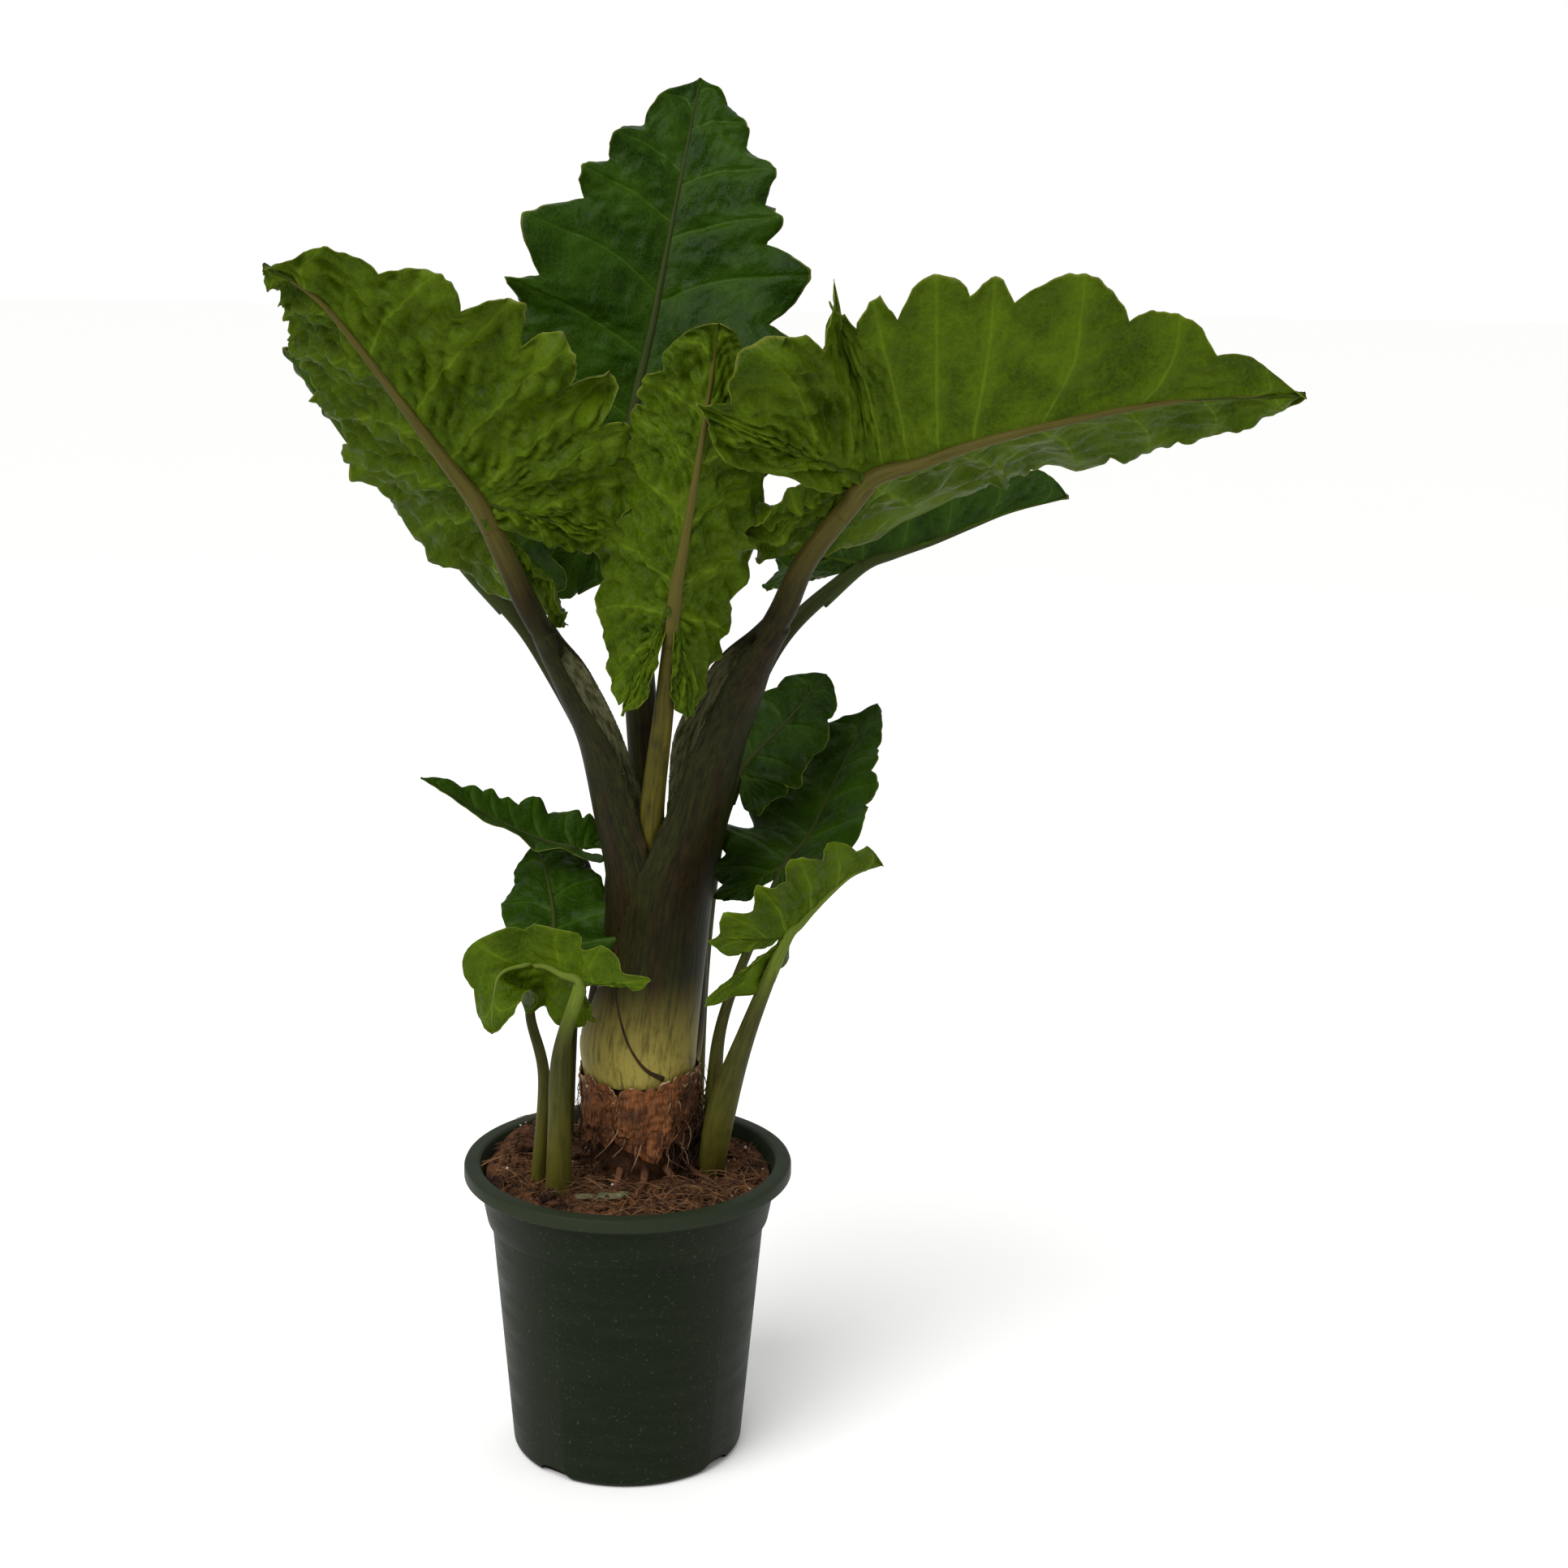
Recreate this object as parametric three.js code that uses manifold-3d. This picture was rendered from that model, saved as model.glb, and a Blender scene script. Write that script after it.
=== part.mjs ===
// A potted alocasia: a grower's pot, potting mix, a corm with its dry scales, six big leaves
// and two side shoots with three small leaves each.
// Millimetres, +Z up. The origin is the centre of the pot's foot, on the floor; -Y is the front.
import * as THREE from "three";
import { mergeVertices } from "three/addons/utils/BufferGeometryUtils.js";
import Module from "manifold-3d";

// ---- Driving dimensions ----------------------------------------------------------------------

const POT = {
  height: 250,
  rimRadius: 135, // outside of the turned-down lip
  lipDrop: 11,
  collarTopRadius: 123, // the plain band under the lip
  collarFootRadius: 116,
  collarHeight: 35,
  wallTopRadius: 112.5,
  footRadius: 96,
  footRound: 7,
  wall: 2.2,
  floor: 2.5,
  segments: 40,
};
const DRAIN = { count: 4, firstDeg: -36, width: 34, height: 9 }; // notches cut in the foot

const SOIL = { level: 236, clearance: 0.6, rings: 6, segments: 32 };
const SOIL_BUMPS = [
  // x, y, height, radius of each heap of mix
  [-84, 52, 17, 34],
  [-96, -10, 7, 26],
  [-20, -84, 5, 30],
  [66, -62, 5, 34],
  [80, 44, 7, 30],
  [0, 84, 6, 40],
];

const GAP = 0.5; // air left between touching pieces
const BLADE_THICKNESS = 3; // a blade's flesh and ribs as one sheet
const PETIOLE_SIDES = 12;
const SHEATH_SIDES = 11; // points on each face of a sheath's curved wall

// ---- Leaves ---------------------------------------------------------------------------------

// One entry for each leaf. Spine: heel, petiole joint, two points on the midrib and the tip. Face: the
// way the upper side looks at the joint and at the tip. The rest is given for the left and for the
// right half, seen from above with the tip forward: half width; lobe end, sideways and backwards from
// the joint; fold up out of the plane at heel, middle and tip, in degrees; curl added towards the
// margin, in degrees; and where the margin is notched: 0 is the tip, 1 the shoulder, 2 the lobe's end.
// Taper is how slim the forward part is, depth how deep the notches cut, round how blunt the teeth
// between them are, ripple how high the margin waves.
const BIG_LEAVES = {
  front_left: {
    spine: [[-50, -62, 735], [-107, -98, 805], [-158, -133, 881], [-207, -163, 950], [-243, -183, 976]],
    face: [[0.1, 0.85, 0.45], [0.1, 0.85, 0.45]],
    width: [120, 118],
    lobe: [[66, -94], [24, -132]],
    fold: [[8, 14, 10], [24, 28, 24]],
    curl: [10, 10],
    notches: [[0.24, 0.46, 0.66, 0.86, 1.06, 1.32, 1.6], [0.12, 0.27, 0.5, 0.75, 1, 1.35, 1.7]],
    taper: [0.92, 0.86],
    depth: 0.22,
    round: 2.4,
    ripple: 8,
  },
  front_right: {
    spine: [[86, -128, 812], [184, -90, 825], [275, -110, 858], [400, -100, 885], [505, -85, 890]],
    face: [[-0.1, 0.75, 0.6], [-0.1, 0.75, 0.6]],
    width: [114, 138],
    lobe: [[74, -92], [70, -132]],
    fold: [[13, 28, 6], [16, 20, 14]],
    curl: [0, 0],
    notches: [[0.12, 0.26, 0.42, 0.62, 0.85, 1.15, 1.5], [0.22, 0.4, 0.62, 0.7, 0.8, 0.88, 0.99, 1.3, 1.65]],
    taper: [0.76, 1.08],
    depth: 0.26,
    round: 2.4,
    ripple: 7,
  },
  centre: {
    spine: [[26, -84, 640], [41, -102, 738], [54, -118, 815], [66, -134, 890], [72, -142, 940]],
    face: [[0, 0.95, 0.2], [0, 0.95, 0.2]],
    width: [56, 72],
    lobe: [[28, -104], [30, -108]],
    fold: [[34, 24, 10], [34, 24, 10]],
    curl: [16, 16],
    notches: [[0.1, 0.36, 0.5, 0.78, 1.08, 1.45, 1.8], [0.2, 0.36, 0.5, 0.78, 1.1, 1.4, 1.75]],
    taper: [0.6, 0.62],
    depth: 0.26,
    round: 2.4,
    ripple: 7,
  },
  back: {
    spine: [[10, 84, 712], [-7, 112, 822], [12, 134, 930], [30, 156, 1030], [46, 190, 1120]],
    face: [[0, -0.95, 0.3], [0, -0.95, 0.3]],
    width: [130, 124],
    lobe: [[56, -112], [66, -108]],
    fold: [[6, 12, 8], [6, 12, 8]],
    curl: [0, 0],
    notches: [[0.15, 0.27, 0.38, 0.61, 0.71, 1, 1.4], [0.06, 0.17, 0.31, 0.41, 0.62, 0.9, 1.3]],
    taper: [0.8, 0.68],
    depth: 0.34,
    round: 1.4,
    ripple: 8,
  },
  left: {
    spine: [[-84, 40, 680], [-131, 65, 726], [-178, 80, 772], [-227, 95, 818], [-290, 122, 900]],
    face: [[0.45, 0.5, 0.8], [0.45, 0.5, 0.8]],
    width: [92, 92],
    lobe: [[48, -70], [48, -70]],
    fold: [[44, 44, 30], [20, 20, 10]],
    curl: [0, 0],
    notches: [[0.2, 0.4, 0.6, 0.85, 1.15, 1.5], [0.2, 0.4, 0.6, 0.85, 1.15, 1.5]],
    taper: [0.75, 0.75],
    depth: 0.18,
    round: 2.4,
    ripple: 7,
  },
  right: {
    spine: [[130, 40, 716], [185, 60, 739], [246, 78, 758], [300, 86, 779], [352, 92, 792]],
    face: [[-0.3, 0.2, 0.9], [-0.3, 0.2, 0.9]],
    width: [96, 96],
    lobe: [[50, -70], [50, -70]],
    fold: [[20, 20, 10], [60, 54, 40]],
    curl: [0, 0],
    notches: [[0.2, 0.4, 0.6, 0.85, 1.15, 1.5], [0.2, 0.4, 0.6, 0.85, 1.15, 1.5]],
    taper: [0.75, 0.75],
    depth: 0.18,
    round: 2.4,
    ripple: 7,
  },
};

const SMALL_LEAVES = {
  left_shoot_front: {
    spine: [[16, -100, 422], [-32, -75, 424], [-66, -62, 434], [-98, -68, 426], [-101, -90, 386]],
    face: [[0, 0.9, 0.45], [0.5, 0.8, 0.3]],
    width: [36, 46],
    lobe: [[14, -62], [42, -2]],
    fold: [[10, 10, 10], [0, 0, 0]],
    curl: [0, 0],
    notches: [[0.3, 0.6, 1, 1.5], [0.35, 0.8, 1.3]],
    taper: [0.6, 0.6],
    depth: 0.24,
    round: 2.4,
    ripple: 5,
  },
  left_shoot_rear: {
    spine: [[-50, -44, 418], [-58, -22, 437], [-62, 10, 459], [-72, 42, 486], [-82, 62, 500]],
    face: [[0, -0.5, 0.8], [0, -0.5, 0.8]],
    width: [42, 50],
    lobe: [[24, -34], [24, -34]],
    fold: [[0, 0, 0], [0, 0, 0]],
    curl: [0, 0],
    notches: [[0.35, 0.8, 1.4], [0.3, 0.6, 0.9, 1.4]],
    taper: [0.7, 0.7],
    depth: 0.18,
    round: 1.8,
    ripple: 5,
  },
  left_shoot_long: {
    spine: [[-25, 46, 496], [-46, 40, 502], [-80, 36, 513], [-122, 30, 535], [-170, 25, 564]],
    face: [[0.3, -0.3, 0.9], [0.3, -0.3, 0.9]],
    width: [26, 30],
    lobe: [[16, -30], [16, -30]],
    fold: [[30, 20, 20], [30, 30, 30]],
    curl: [0, 0],
    notches: [[0.3, 0.6, 1, 1.5], [0.24, 0.36, 0.48, 0.6, 0.8, 1.1, 1.5]],
    taper: [0.85, 0.85],
    depth: 0.26,
    round: 2.4,
    ripple: 4,
  },
  right_shoot_front: {
    spine: [[96, -56, 436], [128, -45, 456], [150, -32, 476], [178, -12, 497], [204, 4, 503]],
    face: [[-0.3, 0.75, 0.5], [-0.3, 0.75, 0.5]],
    width: [32, 50],
    lobe: [[12, -84], [40, -56]],
    fold: [[-10, 40, 40], [10, 10, 10]],
    curl: [0, 0],
    notches: [[0.3, 0.7, 1.2], [0.25, 0.5, 0.8, 1.2, 1.6]],
    taper: [0.75, 0.75],
    depth: 0.2,
    round: 2.4,
    ripple: 5,
  },
  right_shoot_tall: {
    spine: [[112, 20, 470], [125, 35, 493], [147, 60, 515], [174, 98, 566], [202, 128, 610]],
    face: [[-0.5, -0.6, 0.6], [-0.5, -0.6, 0.6]],
    width: [70, 56],
    lobe: [[40, -44], [30, -50]],
    fold: [[0, 0, 0], [10, 10, 10]],
    curl: [0, 0],
    notches: [[0.35, 0.6, 0.8, 1.1, 1.5], [0.25, 0.4, 0.6, 0.85, 1.3]],
    taper: [0.75, 0.75],
    depth: 0.22,
    round: 1.8,
    ripple: 5,
  },
  right_shoot_rear: {
    spine: [[78, 66, 530], [90, 85, 562], [119, 100, 592], [140, 112, 615], [158, 122, 636]],
    face: [[-0.5, -0.7, 0.4], [-0.5, -0.7, 0.4]],
    width: [48, 48],
    lobe: [[30, -40], [30, -40]],
    fold: [[0, 0, 0], [0, 0, 0]],
    curl: [0, 0],
    notches: [[0.3, 0.6, 1, 1.5], [0.3, 0.6, 1, 1.5]],
    taper: [0.6, 0.6],
    depth: 0.2,
    round: 1.8,
    ripple: 5,
  },
};

// Plain leaf stalks: x, y, z and radius from the base up to the blade's joint.
const ROUND_PETIOLES = {
  centre: [[20, -6, 319, 9], [21, -9, 440, 9.5], [20, -26, 545, 9.5], [31, -62, 644, 7.5], [41, -101, 737, 5.5]],
  back: [[8, 48, 262, 10.5], [10, 66, 330, 12], [13, 72, 445, 13.5], [10, 74, 545, 13.5], [3, 80, 650, 12.5], [-7, 111, 819, 7]],
  left: [[-18, 36, 262, 8], [-33, 54, 330, 8.5], [-18, 51, 440, 8.5], [-16, 45, 545, 8.5], [-74, 44, 665, 7], [-129, 64, 724, 5.5]],
  right: [[34, 38, 262, 8], [50, 55, 330, 9], [55, 53, 445, 9], [66, 45, 545, 9], [114, 34, 672, 7], [183, 59, 739, 5.5]],
  left_shoot_front: [[-54, -40, 224, 11], [-52, -56, 300, 9.5], [-50, -66, 360, 7], [-34, -75, 422, 4.5]],
  left_shoot_rear: [[-74, -22, 224, 6.5], [-66, -36, 330, 5], [-77, -34, 390, 4], [-60, -23, 434, 3.5]],
  left_shoot_long: [[-56, 46, 224, 6], [-50, 66, 380, 5], [-38, 60, 470, 4], [-45, 42, 499, 3.5]],
  right_shoot_front: [[66, 10, 224, 11], [77, -22, 300, 12], [98, -40, 375, 7.5], [127, -45, 454, 4.5]],
  right_shoot_tall: [[66, 34, 224, 7.5], [70, 8, 310, 6.5], [80, 6, 380, 4.5], [124, 34, 490, 3.5]],
  right_shoot_rear: [[52, 72, 224, 6.5], [58, 84, 380, 5], [70, 80, 500, 4.5], [88, 84, 559, 3.5]],
};

// Sheathing stalks. Wall: centre x, y, z of the curved wall, its outer radius, its thickness in the
// middle, then the directions of its front margin, its back and its rear margin, in degrees from +X.
// Neck: the round part above, as for the plain stalks.
const SHEATHS = {
  front_left: {
    wall: [
      [8, 12, 319, 38, 4, 262, 160, 50],
      [7, 12, 350, 41, 4, 262, 160, 50],
      [13, 10, 395, 39, 5, 264, 160, 50],
      [18, 8, 445, 39, 6, 268, 160, 60],
      [21, 5, 490, 40, 7, 273, 160, 72],
      [8, 2, 540, 36, 8, 278, 160, 80],
      [-12, -12, 602, 27, 9, 279, 160, 74],
      [-35, -30, 649, 19, 9, 276, 160, 56],
      [-54, -48, 682, 12.5, 11, 300, 160, 16],
      [-62, -60, 700, 10, 9.6, 337, 160, -17],
    ],
    neck: [[-50, -44, 676, 2], [-60, -56, 694, 8], [-72, -69, 720, 9.4], [-88, -80, 758, 8.8], [-106, -97, 802, 7.5]],
  },
  front_right: {
    wall: [
      [8, 12, 319, 46, 5, -198, 20, 150],
      [7, 12, 350, 49, 5, -176, 20, 150],
      [13, 10, 395, 47, 5, -150, 20, 140],
      [19, 8, 445, 46, 6, -131, 20, 115],
      [27, 4, 500, 44, 7, -115, 20, 95],
      [42, -2, 545, 39, 8, -113, 20, 112],
      [60, -10, 605, 34, 9, -105, 20, 140],
      [84, -26, 657, 25, 9, -118, 20, 152],
      [106, -38, 690, 14.5, 11, -140, 20, 178],
      [118, -50, 708, 11, 10.6, -157, 20, 197],
    ],
    neck: [[102, -34, 682, 2], [110, -44, 700, 8], [121, -52, 718, 10.4], [140, -66, 762, 9], [184, -90, 822, 7.5]],
  },
};

// The corm under the stalks: x, y, z, radius. Its sides are lumpy.
const CORM = [[12, 12, 222, 30], [10, 12, 240, 36], [9, 12, 262, 38], [8, 12, 286, 40], [8, 12, 306, 41], [8, 12, 317.5, 38]];

// Dry papery scales round the corm: first and last direction in degrees, foot and top height, radius.
const SCALES = [
  [-172, -118, 268, 316, 45],
  [-114, -62, 258, 312, 45.5],
  [-58, -4, 270, 320, 45],
  [2, 62, 262, 318, 45],
  [70, 178, 264, 316, 45],
];

// Roots over the top of the mix: direction in degrees, and how far they run and bend.
const ROOTS = [
  [-118, 34, 12],
  [-84, 44, -10],
  [-58, 30, 14],
  [-20, 36, -12],
  [150, 30, 10],
];

// Loose bits on the mix: x, y, length, width, thickness, turn in degrees.
const LITTER = [
  [-16, -72, 42, 15, 2.4, 12],
  [84, -2, 22, 7, 4, 24],
  [-86, 20, 24, 15, 9, 50],
  [34, -82, 18, 9, 4, -30],
  [-62, -68, 16, 9, 5, 70],
  [-30, 88, 26, 12, 5, 15],
];

// ---- Materials ------------------------------------------------------------------------------

const finish = (color, roughness) => new THREE.MeshStandardMaterial({ color, roughness, metalness: 0 });
const MATERIALS = {
  pot: finish(0x2f3a2e, 0.55),
  mix: finish(0x4a2d1c, 0.95),
  corm: finish(0x6b4325, 0.8),
  stalk: finish(0x3f3a22, 0.5),
  youngBlade: finish(0x55701a, 0.4),
  oldBlade: finish(0x2f5518, 0.35),
};

// ---- Solids and lofts -----------------------------------------------------------------------

const wasm = await Module();
wasm.setup();

const vector = (p) => new THREE.Vector3(p[0], p[1], p[2]);
const lerp = THREE.MathUtils.lerp;
const smooth = (t) => THREE.MathUtils.smoothstep(t, 0, 1);

function geometryOf(points, triangles) {
  const geometry = new THREE.BufferGeometry();
  const flat = new Float32Array(points.flatMap((p) => [p.x, p.y, p.z]));
  geometry.setAttribute("position", new THREE.BufferAttribute(flat, 3));
  geometry.setIndex(triangles);
  return geometry;
}

// A closed geometry as a manifold solid, its doubled vertices merged and its empty triangles dropped.
function solidOf(geometry) {
  const bare = geometry.clone();
  bare.deleteAttribute("normal");
  bare.deleteAttribute("uv");
  const merged = mergeVertices(bare, 1e-3);
  const index = merged.index.array;
  const triVerts = [];
  for (let i = 0; i < index.length; i += 3) {
    const [a, b, c] = [index[i], index[i + 1], index[i + 2]];
    if (a !== b && b !== c && a !== c) triVerts.push(a, b, c);
  }
  return new wasm.Manifold(
    new wasm.Mesh({
      numProp: 3,
      vertProperties: merged.attributes.position.array,
      triVerts: new Uint32Array(triVerts),
    }),
  );
}

function geometryOfSolid(solid) {
  const mesh = solid.getMesh();
  const points = [];
  for (let i = 0; i < mesh.numVert; i += 1) {
    points.push(new THREE.Vector3().fromArray(mesh.vertProperties, i * mesh.numProp));
  }
  return geometryOf(points, Array.from(mesh.triVerts));
}

// The biggest body of a solid, without the crumbs that a cut can leave.
function largest(solid) {
  return solid.decompose().sort((a, b) => b.volume() - a.volume())[0];
}

// A closed skin over rings of points, each ring with the same number, and flat ends.
function loft(rings) {
  const n = rings[0].length;
  const triangles = [];
  for (let i = 0; i + 1 < rings.length; i += 1) {
    for (let j = 0; j < n; j += 1) {
      const [a, b] = [i * n + j, i * n + ((j + 1) % n)];
      triangles.push(a, b, a + n, b, b + n, a + n);
    }
  }
  const last = (rings.length - 1) * n;
  for (let j = 0; j + 1 < n / 2; j += 1) {
    const [a, b, c, d] = [j, j + 1, n - 2 - j, n - 1 - j]; // a rung between the two sides of the ring
    triangles.push(a, c, b, a, d, c, last + a, last + b, last + c, last + a, last + c, last + d);
  }
  return geometryOf(rings.flat(), triangles);
}

const curveThrough = (points) => new THREE.CatmullRomCurve3(points.map(vector), false, "catmullrom", 0.5);

// ---- Stalks ---------------------------------------------------------------------------------

// A round stalk along its points, as a solid, made fatter by `grow` when it is only a cutter.
function roundStalk(rows, grow = 0, steps = 9) {
  const path = curveThrough(rows);
  const radii = curveThrough(rows.map((row) => [row[3], 0, 0]));
  const rings = [];
  for (let i = 0; i <= steps; i += 1) {
    const t = i / steps;
    const centre = path.getPoint(t);
    const tangent = path.getTangent(t);
    const side = new THREE.Vector3(1, 0, 0).addScaledVector(tangent, -tangent.x).normalize();
    const front = new THREE.Vector3().crossVectors(tangent, side);
    const radius = radii.getPoint(t).x + grow;
    const ring = [];
    for (let j = 0; j < PETIOLE_SIDES; j += 1) {
      const angle = (2 * Math.PI * j) / PETIOLE_SIDES;
      ring.push(
        centre
          .clone()
          .addScaledVector(side, radius * Math.cos(angle))
          .addScaledVector(front, radius * Math.sin(angle)),
      );
    }
    rings.push(ring);
  }
  return solidOf(loft(rings));
}

// A sheathing stalk: a curved wall, thick in the middle and thin at its two free margins, that
// closes upwards into a round stalk.
function sheathStalk({ wall, neck }, grow = 0) {
  const rings = wall.map(([x, y, z, radius, thickness, front, back, rear], i) => {
    const before = vector(wall[Math.max(i - 1, 0)]);
    const after = vector(wall[Math.min(i + 1, wall.length - 1)]);
    const tilt = THREE.MathUtils.smoothstep(z, 600, 690); // level rings low down, square ones above
    const axis = new THREE.Vector3(0, 0, 1).lerp(after.sub(before).normalize(), tilt).normalize();
    const right = new THREE.Vector3(1, 0, 0).addScaledVector(axis, -axis.x).normalize();
    const ahead = new THREE.Vector3().crossVectors(axis, right);
    const rim = (deg, r) => {
      const a = THREE.MathUtils.degToRad(deg);
      return vector([x, y, z]).addScaledVector(right, r * Math.cos(a)).addScaledVector(ahead, r * Math.sin(a));
    };
    const outside = [];
    const inside = [];
    for (let j = 0; j < SHEATH_SIDES; j += 1) {
      const t = (2 * j) / (SHEATH_SIDES - 1) - 1; // -1 at the front margin, 1 at the rear one
      const deg = t < 0 ? lerp(back, front, -t) : lerp(back, rear, t);
      const depth = lerp(1.6, thickness, Math.sqrt(1 - t * t));
      outside.push(rim(deg, radius + grow));
      inside.push(rim(deg, Math.max(radius - depth - grow, 0.3)));
    }
    const ring = [...outside, ...inside.reverse()];
    return front < rear ? ring : ring.reverse();
  });
  return solidOf(loft(rings)).add(roundStalk(neck, grow));
}

// ---- Blades ---------------------------------------------------------------------------------

// The flat shape of one half of a blade. A vein is found by its row, from 0 at the tip, through 1 at
// the shoulder and 2 at the end of the lobe, to 3 in the cleft: where it leaves its rib, where it
// meets the margin, and how far the margin swells or is notched there.
function halfShape(leaf, half, reach) {
  const width = leaf.width[half];
  const [lobeX, lobeY] = leaf.lobe[half];
  const shoulderY = 0.03 * reach;
  const outside = curveThrough([
    [width, shoulderY, 0],
    [lerp(width, lobeX, 0.2), lerp(shoulderY, lobeY, 0.5), 0],
    [lobeX + 0.08 * width, lerp(shoulderY, lobeY, 0.92), 0],
    [lobeX, lobeY, 0],
  ]);
  const inside = curveThrough([[lobeX, lobeY, 0], [lobeX * 0.42, lobeY * 0.85, 0], [3, lobeY * 0.3, 0], [0, 0, 0]]);
  return (row) => {
    const part = Math.min(Math.floor(row), 2);
    const t = row - part;
    const bulge = Math.sin((Math.PI / 2) * row ** leaf.taper[half]);
    const edge = part === 0 ? { x: width * bulge, y: lerp(reach, shoulderY, t) } : [outside, inside][part - 1].getPoint(t);
    const alongRib = 0.68 * (part === 1 ? t : 1 - t);
    const start = part === 0 ? [0, reach * (1 - t) ** 1.3] : [lobeX * alongRib, lobeY * alongRib];
    return { start, end: [edge.x, edge.y], swell: leaf.depth * scallop(row, leaf.notches[half], leaf.round) };
  };
}

// How far the margin stands out between two notches: 0 in the notch, up to 1 between.
function scallop(row, notches, round) {
  if (row > 2) return 0;
  const marks = [0, ...notches, 2];
  const next = marks.findIndex((mark) => mark > row);
  if (next < 1) return 0;
  const t = (row - marks[next - 1]) / (marks[next] - marks[next - 1]);
  const size = Math.min((marks[next] - marks[next - 1]) / 0.2, 1);
  return size * (1 - Math.abs(2 * t - 1) ** round) - 0.4 * smooth(row / 0.1) * smooth((2 - row) / 0.1);
}

// A function that bends a point of the flat blade, x to the side and y along the rib, into place.
function bender(leaf) {
  const spine = curveThrough(leaf.spine);
  const total = spine.getLength();
  const jointAt = spine.getLengths(200)[200 / (leaf.spine.length - 1)];
  const reach = total - jointAt; // from the joint to the tip
  const place = ([x, y], side) => {
    const s = Math.min(Math.max((jointAt + y) / total, 0), 1);
    const tangent = spine.getTangentAt(s);
    const centre = spine.getPointAt(s).addScaledVector(tangent, Math.min(jointAt + y, 0));
    const along = y / reach;
    const face = vector(leaf.face[0]).lerp(vector(leaf.face[1]), Math.max(along, 0));
    const normal = face.addScaledVector(tangent, -face.dot(tangent)).normalize();
    const across = new THREE.Vector3().crossVectors(tangent, normal);
    const half = side < 0 ? 0 : 1;
    const [heel, middle, tip] = leaf.fold[half];
    const back = lerp(heel, middle, smooth((along + 0.4) / 0.7));
    const fold = THREE.MathUtils.degToRad(along < 0.3 ? back : lerp(middle, tip, smooth((along - 0.3) / 0.7)));
    const bend = THREE.MathUtils.degToRad(leaf.curl[half]) / leaf.width[half];
    const angle = fold + bend * x;
    const flat = Math.abs(bend) < 1e-6;
    const out = flat ? x * Math.cos(fold) : (Math.sin(angle) - Math.sin(fold)) / bend;
    const up = flat ? x * Math.sin(fold) : (Math.cos(fold) - Math.cos(angle)) / bend;
    const wave = leaf.ripple * (x / leaf.width[half]) ** 2 * Math.sin(6 * along * Math.PI + 2 * half);
    const lean = angle * smooth(x / 12);
    return {
      point: centre.addScaledVector(across, side * out).addScaledVector(normal, up + wave),
      offset: normal.clone().multiplyScalar(Math.cos(lean)).addScaledVector(across, -side * Math.sin(lean)),
    };
  };
  return { place, reach };
}

// A blade as one closed sheet, thick along its ribs and sharp at its margin.
function blade(leaf, rowsPerPart, thickness) {
  const { place, reach } = bender(leaf);
  const rows = rowsPerPart.flatMap((n, part) => Array.from({ length: n }, (_, i) => part + i / n)).concat(3);
  const shares = [0, 0.5, 1]; // along a vein, from its rib to the margin
  const points = [];
  const triangles = [];
  for (const side of [-1, 1]) {
    const shape = halfShape(leaf, side < 0 ? 0 : 1, reach);
    for (const face of [1, -1]) {
      const first = points.length;
      rows.forEach((row, i) => {
        const { start, end, swell } = shape(row);
        for (const share of shares) {
          const out = share * (share === 1 ? 1 + swell : 1);
          const { point, offset } = place([lerp(start[0], end[0], out), lerp(start[1], end[1], out)], side);
          const body = i === 0 || share === 1 ? 0 : thickness / 2;
          points.push(point.addScaledVector(offset, face * body));
        }
      });
      const n = shares.length;
      for (let i = 0; i + 1 < rows.length; i += 1) {
        for (let j = 0; j + 1 < n; j += 1) {
          const a = first + i * n + j;
          const quad = [a, a + 1, a + n, a + 1, a + n + 1, a + n];
          triangles.push(...(side * face > 0 ? quad.reverse() : quad));
        }
      }
    }
  }
  const solid = solidOf(geometryOf(points, triangles));
  if (solid.volume() < 0) throw new Error("inside out");
  return solid;
}

// ---- Pot and mix ----------------------------------------------------------------------------

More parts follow.
